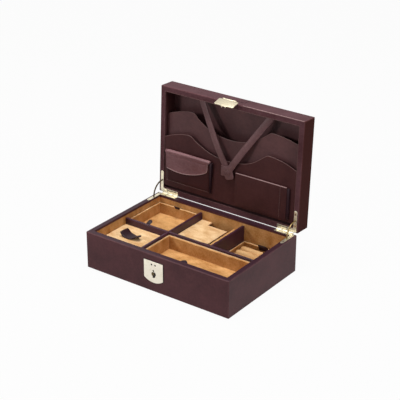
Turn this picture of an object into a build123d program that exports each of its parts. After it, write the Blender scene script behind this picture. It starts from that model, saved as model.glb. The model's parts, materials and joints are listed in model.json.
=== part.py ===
from build123d import *
from math import cos, radians, sin
import os

# A leather jewellery case for cufflinks and rings. Its base is lined with suede, its lid with leather.
#
# Frame: X runs left to right, Y front to back and Z up. The origin is the middle of the felt
# foot, where the case stands. The lid is drawn open, as it rests on its two stays.
# Lengths are in millimetres and angles in degrees.

# Outside of the case
box_width = 300.0
box_depth = 203.0
base_height = 69.6
lid_height = 32.2
lid_gap = 0.4              # between the two rims when the lid is shut
open_angle = 92.7          # how far the lid turns from shut to open
edge_round = 1.5

# Layers of the walls
leather = 1.0
lining = 1.0
wall_board = 8.0
floor_board = 5.0
felt = 1.0
felt_inset = 1.5
rim_turn_in = 4.0          # how far the leather runs over the rim and down inside
lid_top_leather = 0.8
lid_top_board = 2.6
lid_top_lining = 0.8

# Dividers of the base
divider = 4.5
divider_drop = 8.0         # from the rim down to the tops of the dividers
front_row = 84.5           # room in front of the long divider
left_column = 92.5         # room left of the left cross divider
middle_column = 86.5       # room between the two cross dividers, in the rear row
divider_round = 1.2

# Trays, panels and the frames that carry them
board = 2.4                # walls of the trays and frames
tray_floor = 2.4
panel = 3.0
loose_fit = 0.5            # round a tray or panel that lifts out
soft_round = 0.9           # on the rims of trays and panels
rear_left_drop = 14.5      # from the rim of the case down to the tray's own rim
rear_left_deep = 20.0
front_right_drop = 13.7
front_right_deep = 24.0
front_left_drop = 19.5     # down to the top of the panel
middle_drop = 21.3
middle_panel_width = 64.5
middle_gap = 4.0           # finger gap at the right of the middle panel
notch_left = 20.0          # where the finger notch of the middle panel starts
notch_deep = 11.0
ring_drop = 37.8

# Ring rolls
roll_count = 5
roll_front = 15.5          # from the front wall of the ring tray to the first roll's middle
roll_slit = 0.4            # where a ring goes in between two rolls
roll_top_drop = 3.7        # from the rim of the ring tray down to the tops of the rolls
roll_rear = 13.1           # from the last roll's middle to the rear wall of the tray

# Leather tabs
tab = 1.4                  # thickness of a tab
rear_tab_width = 10.0
rear_tab_x = -97.0
rear_tab_stand = 7.0       # above the rim of its tray
tab_lean = 6.0             # of the tabs on rear walls, from upright
tab_root = 9.0             # how far a tab runs down the wall that it is glued to
tab_bend_drop = 1.0        # from the tray's rim down to where a tab starts to lean
tab_shoulder = 0.75        # share of a short tab's length that its rounded end takes
front_tab_lean = 45.0      # of the rear left tray's front tab, from upright
front_tab_length = 16.0
front_right_tab_x = 46.5
front_right_tab_width = 15.0
front_right_tab_lean = 62.0
front_right_tab_length = 14.5
ring_tab_width = 18.0
ring_tab_x = 88.0
ring_tab_stand = 7.0
pull_x = -97.0             # middle of the pull strap on the front left panel
pull_y = -41.5
pull_length = 34.0
pull_width = 18.5
pull_rise = 5.0            # how far its two ends curl up
pull_turn = -6.0

# Corner hinges
hinge_behind = 1.6         # from the back face to the hinge axis
hinge_leaf = 1.2
leaf_inset = 3.3           # from the side face to the leaf
leaf_leg = 6.4             # width of the leg along the side
leaf_reach = 42.5          # from the axis to the end of that leg
leaf_back_length = 39.2
leaf_back_reach = 9.1
knuckle_radius = 2.2
knuckle_room = 0.4
barrel_start = 9.0         # from the side face to the first knuckle
base_knuckle = 11.0
lid_knuckle = 10.6
knuckle_gap = 0.2
pin_radius = 1.0
pin_play = 0.05
screw_head = 2.0
screw_shank = 1.1
screw_length = 9.0
side_screws = (13.5, 35.0)  # distances from the axis along the side leg
back_screw = 36.0          # distance from the side face along the back leg

# Curved stays that hold the lid open
stay_inset = 6.5
stay_radius = 24.0
stay_width = 2.2
stay_thick = 1.8
stay_tuck = 8.0            # how much of the stay stays inside each half, as an angle
stay_head = 4.0
stay_head_arc = 3.0
stay_play = 0.4
stay_slot_play = 0.3
mortise_arc = 57.0

# Lock on the front
lock_x = -2.5
lock_plate_width = 39.8
lock_plate_thick = 1.2
lock_plate_drop = 12.1     # from the rim down to the lock plate
lock_plate_straight = 32.5  # how far its straight sides run down
lock_plate_height = 39.5
case_width = 30.0
case_drop = 13.6
case_height = 30.5
case_depth = 6.5
keyhole_drop = 35.6        # from the rim down to the keyhole's middle
barrel_radius = 3.9
barrel_play = 0.06
barrel_sunk = 0.5          # below the face of the lock plate
barrel_depth = 5.0
keyhole_radius = 4.2
key_slot = 3.5
key_slot_reach = 7.0       # from the keyhole's middle down to the end of its slot
key_bore = 1.5
keyway = 1.3
spy_hole_radius = 1.8
spy_hole_rise = 6.3        # from the keyhole's middle up to the small hole
bolt = 1.0                 # thickness of the sliding bolt
bolt_play = 0.2
bolt_drop = 25.6
bolt_set_back = 0.3        # from the back of the lock plate to the bolt
bolt_travel = 4.0
bolt_tooth = 2.4

# Hasp on the lid
hasp_stand = 4.0           # from the lid's front face out to the hasp's axis
hasp_above_rim = 1.0
hasp_droop = 16.0          # how far the hasp hangs inward when the lid is open
hasp_width = 39.6
hasp_length = 21.0
hasp_thick = 1.4
hasp_corner = 3.0
hasp_knuckle = 1.9
hasp_knuckle_width = 16.0
hasp_pin_radius = 0.9
hasp_knuckle_gap = 0.3
bracket_width = 36.0
bracket_height = 12.0
bracket_thick = 1.2
prong = 2.0
prong_height = 1.6
prong_reach = 19.4         # from the hasp's axis down to the prongs
prong_depth = 6.0
prong_spread = 3.7         # from the middle of the hasp to each prong
prong_slot_play = 0.4
prong_swing = 1.2          # extra room below a prong, for the arc that it swings in on
prong_hook = 0.6
staple_plate = 0.8

# Pocket panels in the lid: a wavy top edge, with a peak each side of a wide valley
pocket_board = 2.2
upper_pocket_front = 8.7
lower_pocket_front = 0.4   # from the rim plane up into the lid, to the face of the panel
upper_wall_edge = 152.5    # from the hinge axis to the edge, at the side walls
upper_peak_edge = 167.0
upper_valley_edge = 135.5
lower_wall_edge = 112.5
lower_peak_edge = 126.0
lower_valley_edge = 96.5
peak_x = 85.0
peak_round = 5.0
peak_bulge = 0.72          # share of the rise from wall to peak that is reached half way

# Purse with a flap, and flat pocket, both on the lower panel
purse_gap = 4.0            # from the lining at the left
purse_to_strap = 39.5      # from the middle of the V
purse_near = 28.0          # distances from the hinge axis
purse_far = 86.0
purse_thick = 3.0
flap_thick = 1.0
flap_play = 0.3
flap_left = 58.0           # where the flap's edge meets the purse's sides
flap_right = 71.0
flap_low = 55.0
flap_low_at = 70.0         # from the purse's left side to the lowest place of the flap's edge
flat_pocket_gap = 14.0     # from the lining at the right
flat_pocket_to_strap = 17.5
flat_pocket_near = 21.0
flat_pocket_far = 80.0
flat_pocket_thick = 2.4
soft_corner = 5.0

# V strap in the lid
strap_width = 12.0
strap_thick = 1.8
strap_centre = 2.5
strap_spread = 75.0        # from the middle of the V to each anchor
strap_anchor_high = 16.0   # from the rim plane up into the lid, at the anchors
strap_anchor_gap = 0.4     # from the lid's front lining to the ends of the straps
strap_bend = 114.0         # from the hinge axis to where the straps come level
strap_level = -1.2         # level of the left strap's middle, from the rim plane
strap_lap = 0.1
stud_reach = 77.7
left_strap_end = 68.0
right_strap_end = 64.0
stud_radius = 4.5
stud_dome = 1.4
stud_round = 1.12          # rounding of the cap's edge
stud_post = 1.5
stud_play = 0.3
socket_radius = 3.6
socket_thick = 0.4

# Places worked out from the sizes above
half_width = box_width / 2
half_depth = box_depth / 2
board_x = half_width - leather
board_y = half_depth - leather
lining_x = board_x - wall_board
lining_y = board_y - wall_board
inside_x = lining_x - lining
inside_y = lining_y - lining
floor_z = felt + floor_board + lining
rim_board_z = base_height - leather
turn_in_z = base_height - rim_turn_in
divider_z = base_height - divider_drop

hinge_y = half_depth + hinge_behind
hinge_z = base_height + lid_gap / 2
lid_back = -hinge_behind
lid_front = lid_back - box_depth
lid_rim = lid_gap / 2
lid_top = lid_rim + lid_height
lid_board_front = lid_front + leather
lid_board_back = lid_back - leather
lid_lining_front = lid_board_front + wall_board
lid_lining_back = lid_board_back - wall_board
lid_inside_front = lid_lining_front + lining
lid_inside_back = lid_lining_back - lining
lid_board_rim = lid_rim + leather
lid_turn_in = lid_rim + rim_turn_in
lid_board_top = lid_top - lid_top_leather
lid_lining_top = lid_board_top - lid_top_board
lid_inside_top = lid_lining_top - lid_top_lining

# Rooms between the dividers, as pairs of x and of y
left_room = (-inside_x, -inside_x + left_column)
right_room = (left_room[1] + divider, inside_x)
middle_room = (right_room[0], right_room[0] + middle_column)
ring_room = (middle_room[1] + divider, inside_x)
front_room = (-inside_y, -inside_y + front_row)
rear_room = (front_room[1] + divider, inside_y)

tilt = radians(open_angle)
# Heights of the lock, all from the rim that the hasp hangs over
lock_plate_top = base_height - lock_plate_drop
lock_plate_side_end = lock_plate_top - lock_plate_straight
lock_plate_low = lock_plate_top - lock_plate_height
case_high = base_height - case_drop
case_low = case_high - case_height
keyhole_z = base_height - keyhole_drop
key_slot_low = keyhole_z - key_slot_reach
spy_hole_z = keyhole_z + spy_hole_rise
bolt_low = base_height - bolt_drop

# Purse and flat pocket, as pairs of x
purse_x = (-inside_x + purse_gap, strap_centre - purse_to_strap)
flap_low_x = purse_x[0] + flap_low_at
flat_pocket_x = (strap_centre + flat_pocket_to_strap, inside_x - flat_pocket_gap)

ground = Plane.XY
base_hinge_frame = Plane(origin=(0, hinge_y, hinge_z), x_dir=(1, 0, 0), z_dir=(0, 0, 1))
lid_frame = Plane(origin=(0, hinge_y, hinge_z), x_dir=(1, 0, 0), z_dir=(0, sin(tilt), cos(tilt)))
front_face = Plane(origin=(lock_x, -half_depth, 0), x_dir=(1, 0, 0), z_dir=(0, -1, 0))
across_base, across_lid = -1, 1   # which way each half lies from the hinge plane
hands = {"left": -1, "right": 1}


# Shapes that many pieces share

def inset(pair, by):
    """A pair of places, each moved inward."""
    return (pair[0] + by, pair[1] - by)


def from_side(hand, near, far):
    """Two distances in from a side face of the case, as a pair of x."""
    return sorted((hand * (half_width - near), hand * (half_width - far)))


def block(frame, x, y, z, mode=Mode.ADD):
    """A straight block between pairs of x, y and z in a frame."""
    with BuildSketch(frame.offset(z[0])) as outline:
        with Locations(((x[0] + x[1]) / 2, (y[0] + y[1]) / 2)):
            Rectangle(x[1] - x[0], y[1] - y[0])
    extrude(outline.sketch, amount=z[1] - z[0], mode=mode)


def soft_block(frame, x, y, z, corner):
    """A block whose upright edges are rounded."""
    with BuildSketch(frame.offset(z[0])) as outline:
        with Locations(((x[0] + x[1]) / 2, (y[0] + y[1]) / 2)):
            RectangleRounded(x[1] - x[0], y[1] - y[0], corner)
    extrude(outline.sketch, amount=z[1] - z[0])


def disc(frame, centre, radius, z, mode=Mode.ADD):
    """A round piece that stands square on a frame."""
    with BuildSketch(frame.offset(z[0])) as outline:
        with Locations(centre):
            Circle(radius)
    extrude(outline.sketch, amount=z[1] - z[0], mode=mode)


def rod(x, y, z, radius, mode=Mode.ADD):
    """A round bar along X, between a pair of x."""
    with BuildSketch(Plane(origin=(x[0], y, z), x_dir=(0, 1, 0), z_dir=(1, 0, 0))) as ring:
        Circle(radius)
    extrude(ring.sketch, amount=x[1] - x[0], mode=mode)


def ring_part(x, inner, outer, start, end, mode=Mode.ADD):
    """Part of a ring about the hinge axis. Angles rise from the base's rim towards the lid."""
    plane = Plane(origin=(x[0], hinge_y, hinge_z), x_dir=(0, 1, 0), z_dir=(1, 0, 0))
    with BuildSketch(plane) as sector:
        with BuildLine():
            near = CenterArc((0, 0), inner, 180 - end, end - start)
            far = CenterArc((0, 0), outer, 180 - end, end - start)
            Line(near @ 0, far @ 0)
            Line(near @ 1, far @ 1)
        make_face()
    extrude(sector.sketch, amount=x[1] - x[0], mode=mode)


def upright_ring(frame, outer_x, outer_y, inner_x, inner_y, z):
    """Four walls in one: a block with a hole right through it."""
    block(frame, outer_x, outer_y, z)
    block(frame, inner_x, inner_y, z, mode=Mode.SUBTRACT)


def both_ways(value):
    """A pair of places, one each side of the middle."""
    return (-value, value)


def finish(piece, name):
    """Name a piece and write it to its own file."""
    piece.part.label = name
    export_step(piece.part, f"parts/{name}.step")


# Corner hinges, their screws and the stays

def leaf_shape(frame, across, hand, mode=Mode.ADD):
    """The flat of one leaf: a side leg with a round end, and a leg along the back."""
    z = (across * lid_gap / 2, across * (lid_gap / 2 + hinge_leaf))
    edge = -(knuckle_radius + knuckle_room)
    side = from_side(hand, leaf_inset, leaf_inset + leaf_leg)
    back = from_side(hand, leaf_inset, leaf_inset + leaf_back_length)
    round_end = (hand * (half_width - leaf_inset - leaf_leg / 2), -leaf_reach + leaf_leg / 2)
    block(frame, side, (round_end[1], edge), z, mode)
    block(frame, back, (-leaf_back_reach, edge), z, mode)
    disc(frame, round_end, leaf_leg / 2, z, mode)


def hinge_screws(frame, across, hand, mode=Mode.ADD):
    """Countersunk screws down through one leaf into the boards."""
    face = across * lid_gap / 2
    seat = screw_head - screw_shank
    leg_x = hand * (half_width - leaf_inset - leaf_leg / 2)
    back_y = -(leaf_back_reach + knuckle_radius + knuckle_room) / 2
    places = [(leg_x, -reach) for reach in side_screws]
    places.append((hand * (half_width - back_screw), back_y))
    for place in places:
        centre = frame.from_local_coords((place[0], place[1], face))
        with BuildSketch(Plane(origin=centre, x_dir=frame.x_dir, z_dir=frame.z_dir)) as head:
            Circle(screw_head)
        with BuildSketch(Plane(origin=centre, x_dir=frame.x_dir, z_dir=frame.z_dir).offset(
            across * seat
        )) as neck:
            Circle(screw_shank)
        loft([head.sketch.face(), neck.sketch.face()], mode=mode)
        disc(frame, place, screw_shank, (face + across * seat, face + across * screw_length), mode)


def knuckle_spans(across):
    """Where the knuckles of one leaf start and how long they are, from the side face."""
    middle = barrel_start + base_knuckle + knuckle_gap
    if across == across_lid:
        return [(middle, lid_knuckle)]
    return [(barrel_start, base_knuckle), (middle + lid_knuckle + knuckle_gap, base_knuckle)]


def barrel_end():
    """How far the hinge barrel reaches from the side face."""
    return barrel_start + 2 * base_knuckle + lid_knuckle + 2 * knuckle_gap


def stay_slot(frame, across, hand, mode=Mode.SUBTRACT):
    """The slot in a leaf that the stay slides through, too narrow for the stay's head."""
    half = stay_thick / 2 + stay_play
    reach = stay_width / 2 + stay_slot_play
    z = (across * lid_gap / 2, across * (lid_gap / 2 + hinge_leaf))
    y = (-stay_radius - reach, -stay_radius + reach)
    block(frame, from_side(hand, stay_inset - half, stay_inset + half), y, z, mode)


def stay_mortise(hand, start, end):
    """The curved pocket in a side board that takes the stay when the lid is shut."""
    half = stay_thick / 2 + stay_play
    reach = stay_head / 2 + stay_play
    x = from_side(hand, stay_inset - half, stay_inset + half)
    ring_part(x, stay_radius - reach, stay_radius + reach, start, end, Mode.SUBTRACT)


def cut_for_hinges(frame, across):
    """Recesses in one half for both hinges: the leaves, the barrels and the screws."""
    barrel = knuckle_radius + knuckle_room
    for hand in hands.values():
        leaf_shape(frame, across, hand, Mode.SUBTRACT)
        hinge_screws(frame, across, hand, Mode.SUBTRACT)
        x = from_side(hand, barrel_start - knuckle_room, barrel_end() + knuckle_room)
        block(frame, x, (-barrel, 0), (0, across * barrel), Mode.SUBTRACT)


def make_leaf(frame, across, hand):
    """One hinge leaf with its knuckles."""
    z = (across * lid_gap / 2, across * (lid_gap / 2 + hinge_leaf))
    bore = pin_radius + (pin_play if across == across_lid else 0)
    with BuildPart() as leaf:
        leaf_shape(frame, across, hand)
        for start, length in knuckle_spans(across):
            x = from_side(hand, start, start + length)
            block(frame, x, (-(knuckle_radius + knuckle_room), 0), z)
            rod(x, hinge_y, hinge_z, knuckle_radius)
            rod(x, hinge_y, hinge_z, bore, Mode.SUBTRACT)
        stay_slot(frame, across, hand)
        hinge_screws(frame, across, hand, Mode.SUBTRACT)
    return leaf


def make_screws(frame, across):
    """All the hinge screws of one half."""
    with BuildPart() as screws:
        for hand in hands.values():
            hinge_screws(frame, across, hand)
    return screws


def make_stay(hand):
    """A curved stay with a head at each end, which stops it in the leaves' slots."""
    x = from_side(hand, stay_inset - stay_thick / 2, stay_inset + stay_thick / 2)
    first = -stay_tuck
    last = open_angle + stay_tuck
    with BuildPart() as stay:
        ring_part(x, stay_radius - stay_width / 2, stay_radius + stay_width / 2, first, last)
        for start in (first, last - stay_head_arc):
            end = start + stay_head_arc
            ring_part(x, stay_radius - stay_head / 2, stay_radius + stay_head / 2, start, end)
    return stay


# Shell of the case: felt, boards, leather and lining

def leather_skin(frame, front, back, rim, far, far_skin):
    """Leather round the outside of one half, over its rim and a little way down inside."""
    inward = 1 if far > rim else -1
    under = (rim + inward * leather, rim + inward * rim_turn_in)
    with BuildPart() as skin:
        block(frame, both_ways(half_width), (front, back), (rim, far))
        rounded = skin.edges()
        if far_skin == 0:
            rounded = rounded - skin.faces().sort_by(Axis.Z)[0].edges()
        fillet(rounded, edge_round)
        boards = inset((front, back), leather)
        block(frame, both_ways(board_x), boards, (under[0], far - inward * far_skin), Mode.SUBTRACT)
        block(frame, both_ways(lining_x), inset(boards, wall_board), under)
        hollow = inset(boards, wall_board + lining)
        block(frame, both_ways(inside_x), hollow, (rim, under[1]), Mode.SUBTRACT)
    return skin


def make_base_boards():
    """The five boards of the base, by name."""
    walls = (felt, rim_board_z)
    with BuildPart() as front:
        block(ground, both_ways(board_x), (-board_y, -lining_y), walls)
        block(front_face, both_ways(case_width / 2), (case_low, case_high), (-case_depth, 0),
              Mode.SUBTRACT)
    with BuildPart() as back:
        block(ground, both_ways(board_x), (lining_y, board_y), walls)
        cut_for_hinges(base_hinge_frame, across_base)
    with BuildPart() as floor:
        block(ground, both_ways(lining_x), both_ways(lining_y), (felt, felt + floor_board))
    pieces = {"base_front_board": front, "base_back_board": back, "base_floor_board": floor}
    for name, hand in hands.items():
        with BuildPart() as side:
            block(ground, from_side(hand, leather, leather + wall_board), both_ways(lining_y), walls)
            cut_for_hinges(base_hinge_frame, across_base)
            stay_mortise(hand, -mortise_arc, 0)
        pieces[f"base_{name}_board"] = side
    return pieces


def make_base_covers():
    """Felt foot, leather skin and suede lining of the base, by name."""
    with BuildPart() as foot:
        x = both_ways(half_width - felt_inset)
        block(ground, x, both_ways(half_depth - felt_inset), (0, felt))
    skin = leather_skin(ground, -half_depth, half_depth, base_height, felt, 0)
    with skin:
        cut_for_hinges(base_hinge_frame, across_base)
        block(front_face, both_ways(case_width / 2), (case_low, case_high), (-case_depth, 0),
              Mode.SUBTRACT)
    with BuildPart() as walls:
        upright_ring(ground, both_ways(lining_x), both_ways(lining_y), both_ways(inside_x),
                     both_ways(inside_y), (felt + floor_board, turn_in_z))
    with BuildPart() as floor:
        block(ground, both_ways(inside_x), both_ways(inside_y), (felt + floor_board, floor_z))
    return {"base_felt": foot, "base_leather": skin, "base_wall_lining": walls,
            "base_floor_lining": floor}


def make_lid_boards():
    """The five boards of the lid, by name."""
    walls = (lid_board_rim, lid_board_top)
    between = (lid_lining_front, lid_lining_back)
    with BuildPart() as front:
        block(lid_frame, both_ways(board_x), (lid_board_front, lid_lining_front), walls)
    with BuildPart() as back:
        block(lid_frame, both_ways(board_x), (lid_lining_back, lid_board_back), walls)
        cut_for_hinges(lid_frame, across_lid)
    with BuildPart() as top:
        block(lid_frame, both_ways(lining_x), between, (lid_lining_top, lid_board_top))
    pieces = {"lid_front_board": front, "lid_back_board": back, "lid_top_board": top}
    for name, hand in hands.items():
        with BuildPart() as side:
            block(lid_frame, from_side(hand, leather, leather + wall_board), between, walls)
            cut_for_hinges(lid_frame, across_lid)
            stay_mortise(hand, open_angle, open_angle + mortise_arc)
        pieces[f"lid_{name}_board"] = side
    return pieces


def make_lid_covers():
    """Leather skin and leather lining of the lid, by name."""
    skin = leather_skin(lid_frame, lid_front, lid_back, lid_rim, lid_top, lid_top_leather)
    with skin:
        cut_for_hinges(lid_frame, across_lid)
    hollow = (lid_inside_front, lid_inside_back)
    with BuildPart() as walls:
        upright_ring(lid_frame, both_ways(lining_x), (lid_lining_front, lid_lining_back),
                     both_ways(inside_x), hollow, (lid_turn_in, lid_lining_top))
    with BuildPart() as top:
        block(lid_frame, both_ways(inside_x), hollow, (lid_inside_top, lid_lining_top))
    return {"lid_leather": skin, "lid_wall_lining": walls, "lid_top_lining": top}


# Inside of the base: dividers, frames, panels and trays

def round_top(piece, radius):
    """Round the edges of a piece's top face."""
    fillet(piece.faces().sort_by(Axis.Z)[-1].edges(), radius)


def make_dividers():
    """Three dividers. The long one and the left one are halved into each other."""
    half_way = (floor_z + divider_z) / 2
    left = (left_room[1], right_room[0])
    across = (front_room[1], rear_room[0])
    with BuildPart() as long:
        block(ground, both_ways(inside_x), across, (floor_z, divider_z))
        round_top(long, divider_round)
        block(ground, left, across, (half_way, divider_z), Mode.SUBTRACT)
    with BuildPart() as left_cross:
        block(ground, left, both_ways(inside_y), (floor_z, divider_z))
        round_top(left_cross, divider_round)
        block(ground, left, across, (floor_z, half_way), Mode.SUBTRACT)
    with BuildPart() as right_cross:
        block(ground, (middle_room[1], ring_room[0]), rear_room, (floor_z, divider_z))
        round_top(right_cross, divider_round)
    return {"long_divider": long, "left_cross_divider": left_cross,
            "right_cross_divider": right_cross}


def make_frame(x, y, top):
    """A suede-covered frame round the inside of a room, which carries a tray or panel."""
    with BuildPart() as frame:
        upright_ring(ground, x, y, inset(x, board), inset(y, board), (floor_z, top))
    return frame


def make_tray(x, y, low, high):
    """A tray with a floor, open at the top."""
    with BuildPart() as tray:
        block(ground, x, y, (low, high))
        inner = (inset(x, board), inset(y, board))
        block(ground, inner[0], inner[1], (low + tray_floor, high), Mode.SUBTRACT)
        round_top(tray, soft_round)
    return tray


def make_wall_tab(x, face_y, way, rim, width, lean, length):
    """A tab glued to the inside of a tray's wall, with a round end that leans over the tray."""
    root = rim - tab_root
    bend = rim - tab_bend_drop
    wall = Plane(origin=(x, face_y, root), x_dir=(-way, 0, 0), z_dir=(0, way, 0))
    turned = radians(lean)
    away = (0, way * cos(turned), -sin(turned))
    flap = Plane(origin=(x, face_y, bend), x_dir=(-way, 0, 0), z_dir=away)
    shoulder = length - min(width / 2, length * tab_shoulder)
    with BuildPart() as strip:
        block(wall, both_ways(width / 2), (0, bend - root), (0, tab))
        with BuildSketch(flap) as outline:
            with BuildLine():
                Polyline((-width / 2, shoulder), (-width / 2, 0), (width / 2, 0),
                         (width / 2, shoulder))
                ThreePointArc((width / 2, shoulder), (0, length), (-width / 2, shoulder))
            make_face()
        extrude(outline.sketch, amount=tab)
    return strip


def make_left_trays():
    """The tray at the rear left with its two tabs, and the frame that carries it."""
    rim = base_height - rear_left_drop
    low = rim - rear_left_deep - tray_floor
    x = inset(left_room, loose_fit)
    y = inset(rear_room, loose_fit)
    tray = make_tray(x, y, low, rim)
    rear = make_wall_tab(rear_tab_x, y[1] - board, -1, rim, rear_tab_width, tab_lean,
                         rear_tab_stand + tab_bend_drop)
    front = make_wall_tab(rear_tab_x, y[0] + board, 1, rim, rear_tab_width, front_tab_lean,
                          front_tab_length)
    with BuildPart() as tabs:
        add(rear.part)
        add(front.part)
    frame = make_frame(left_room, rear_room, low)
    return {"rear_left_tray": tray, "rear_left_tray_tabs": tabs, "rear_left_frame": frame}


def make_front_right_tray():
    """The long tray at the front right with its tab, and the frame that carries it."""
    rim = base_height - front_right_drop
    low = rim - front_right_deep - tray_floor
    y = inset(front_room, loose_fit)
    tray = make_tray(inset(right_room, loose_fit), y, low, rim)
    strip = make_wall_tab(front_right_tab_x, y[0] + board, 1, rim, front_right_tab_width,
                          front_right_tab_lean, front_right_tab_length)
    frame = make_frame(right_room, front_room, low)
    return {"front_right_tray": tray, "front_right_tray_tab": strip, "front_right_frame": frame}


def make_roll(x, middle, width, low, high):
    """One padded roll along X: upright sides and a half-round top."""
    top = high - width / 2
    with BuildSketch(Plane(origin=(x[0], middle, 0), x_dir=(0, 1, 0), z_dir=(1, 0, 0))) as end:
        with BuildLine():
            Polyline((-width / 2, top), (-width / 2, low), (width / 2, low), (width / 2, top))
            ThreePointArc((width / 2, top), (0, high), (-width / 2, top))
        make_face()
    extrude(end.sketch, amount=x[1] - x[0])


def make_ring_tray():
    """The ring tray at the rear right: a tray, a bank of padded rolls and a tab."""
    rim = base_height - ring_drop
    x = inset(ring_room, loose_fit)
    y = inset(rear_room, loose_fit)
    tray = make_tray(x, y, floor_z, rim)
    first = y[0] + board + roll_front
    last = y[1] - board - roll_rear
    pitch = (last - first) / (roll_count - 1)
    with BuildPart() as rolls:
        for index in range(roll_count):
            make_roll(inset(x, board), first + index * pitch, pitch - roll_slit,
                      floor_z + tray_floor, rim - roll_top_drop)
    strip = make_wall_tab(ring_tab_x, y[1] - board, -1, rim, ring_tab_width, tab_lean,
                          ring_tab_stand + tab_bend_drop)
    return {"ring_tray": tray, "ring_rolls": rolls, "ring_tray_tab": strip}


def make_middle_panel():
    """The lift-out panel at the rear middle, with a finger notch, and its frame and ledge."""
    top = base_height - middle_drop
    low = top - panel
    panel_right = middle_room[0] + middle_panel_width
    ledge_left = panel_right + middle_gap
    notch_y = rear_room[1] - notch_deep
    with BuildPart() as lift_out:
        x = (middle_room[0] + loose_fit, panel_right)
        block(ground, x, inset(rear_room, loose_fit), (low, top))
        round_top(lift_out, soft_round)
        block(ground, (middle_room[0] + notch_left, panel_right), (notch_y, rear_room[1]),
              (low, top), Mode.SUBTRACT)
    with BuildPart() as frame:
        upright_ring(ground, middle_room, rear_room, inset(middle_room, board),
                     inset(rear_room, board), (floor_z, low))
        block(ground, inset(middle_room, board), (notch_y - board, notch_y), (floor_z, low))
        block(ground, (ledge_left, middle_room[1]), rear_room, (low, top))
    return {"middle_panel": lift_out, "rear_middle_frame": frame}


def make_front_left_panel():
    """The lift-out panel at the front left, its pull strap with curled ends, and its frame."""
    top = base_height - front_left_drop
    low = top - panel
    with BuildPart() as lift_out:
        block(ground, inset(left_room, loose_fit), inset(front_room, loose_fit), (low, top))
        round_top(lift_out, soft_round)
    turn = radians(pull_turn)
    side = Plane(origin=(pull_x, pull_y, top), x_dir=(cos(turn), sin(turn), 0),
                 z_dir=(sin(turn), -cos(turn), 0))
    half = pull_length / 2
    flat = half - pull_rise
    with BuildPart() as pull:
        with BuildSketch(side.offset(-pull_width / 2)) as edge:
            with BuildLine():
                Polyline((-half, pull_rise), (-flat, 0), (flat, 0), (half, pull_rise),
                         (half, pull_rise + tab), (flat, tab), (-flat, tab),
                         (-half, pull_rise + tab), close=True)
            make_face()
        extrude(edge.sketch, amount=pull_width)
    frame = make_frame(left_room, front_room, low)
    return {"front_left_panel": lift_out, "front_left_pull": pull, "front_left_frame": frame}


# Lock and hasp

def prong_places():
    """Middles of the two prongs, from the middle of the lock."""
    return (-prong_spread, prong_spread)


def lock_frame_z(reach):
    """Height of a place on the shut hasp, from its distance below the hasp's axis."""
    return hinge_z + lid_rim + hasp_above_rim - reach


def make_lock():
    """Lock plate, case, key barrel and sliding bolt, by name. Depths run out from the face."""
    prong_z = lock_frame_z(prong_reach)
    slot_low = prong_z - prong_height / 2 - prong_swing
    slot_high = prong_z + prong_height / 2 + prong_slot_play
    bar_top = slot_low + bolt_play
    bolt_back = -(bolt + 2 * bolt_set_back)
    with BuildPart() as plate:
        half = lock_plate_width / 2
        with BuildSketch(front_face):
            with BuildLine():
                Polyline((-half, lock_plate_side_end), (-half, lock_plate_top),
                         (half, lock_plate_top), (half, lock_plate_side_end))
                ThreePointArc((half, lock_plate_side_end), (0, lock_plate_low),
                              (-half, lock_plate_side_end))
            make_face()
        extrude(amount=lock_plate_thick)
        through = (0, lock_plate_thick)
        for x in prong_places():
            slot = (x - prong / 2 - prong_slot_play, x + prong / 2 + prong_slot_play)
            block(front_face, slot, (slot_low, slot_high), through, Mode.SUBTRACT)
        disc(front_face, (0, spy_hole_z), spy_hole_radius, through, Mode.SUBTRACT)
        disc(front_face, (0, keyhole_z), keyhole_radius, through, Mode.SUBTRACT)
        block(front_face, both_ways(key_slot / 2), (key_slot_low, keyhole_z), through,
              Mode.SUBTRACT)
    travel_x = both_ways(prong_spread + bolt_travel + bolt_tooth / 2 + bolt_play)
    with BuildPart() as case:
        block(front_face, both_ways(case_width / 2), (case_low, case_high), (-case_depth, 0))
        disc(front_face, (0, keyhole_z), barrel_radius + barrel_play, (-barrel_depth, 0),
             Mode.SUBTRACT)
        block(front_face, both_ways(key_slot / 2), (key_slot_low, keyhole_z),
              (-barrel_depth, 0), Mode.SUBTRACT)
        block(front_face, travel_x, (bolt_low - bolt_play, slot_low + bolt_play),
              (bolt_back, 0), Mode.SUBTRACT)
        block(front_face, travel_x, (slot_low, slot_high + bolt_play),
              (-(prong_depth + hasp_thick / 2 - hasp_stand + bolt_play), 0), Mode.SUBTRACT)
    with BuildPart() as barrel:
        front = lock_plate_thick - barrel_sunk
        disc(front_face, (0, keyhole_z), barrel_radius, (-barrel_depth, front))
        disc(front_face, (0, keyhole_z), key_bore, (-barrel_depth / 2, front), Mode.SUBTRACT)
        block(front_face, both_ways(keyway / 2), (keyhole_z - barrel_radius, keyhole_z),
              (-barrel_depth / 2, front), Mode.SUBTRACT)
    with BuildPart() as slider:
        depth = (-(bolt + bolt_set_back), -bolt_set_back)
        first = -prong_spread + bolt_travel - bolt_tooth / 2
        last = prong_spread + bolt_travel + bolt_tooth / 2
        block(front_face, (first, last), (bolt_low, bar_top - bolt_play), depth)
        for x in prong_places():
            tooth = (x + bolt_travel - bolt_tooth / 2, x + bolt_travel + bolt_tooth / 2)
            block(front_face, tooth, (bar_top - bolt_play, prong_z - bolt_play / 2), depth)
    return {"lock_plate": plate, "lock_case": case, "key_barrel": barrel, "lock_bolt": slider}


def hasp_frame():
    """Frame at the hasp's axis: X along it, Y up the plate and Z out of its face."""
    axis = lid_frame.from_local_coords((lock_x, lid_front - hasp_stand, lid_rim + hasp_above_rim))
    turned = radians(-hasp_droop)
    out = lid_frame.z_dir * sin(turned) - lid_frame.y_dir * cos(turned)
    return Plane(origin=axis, x_dir=(1, 0, 0), z_dir=out)


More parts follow.
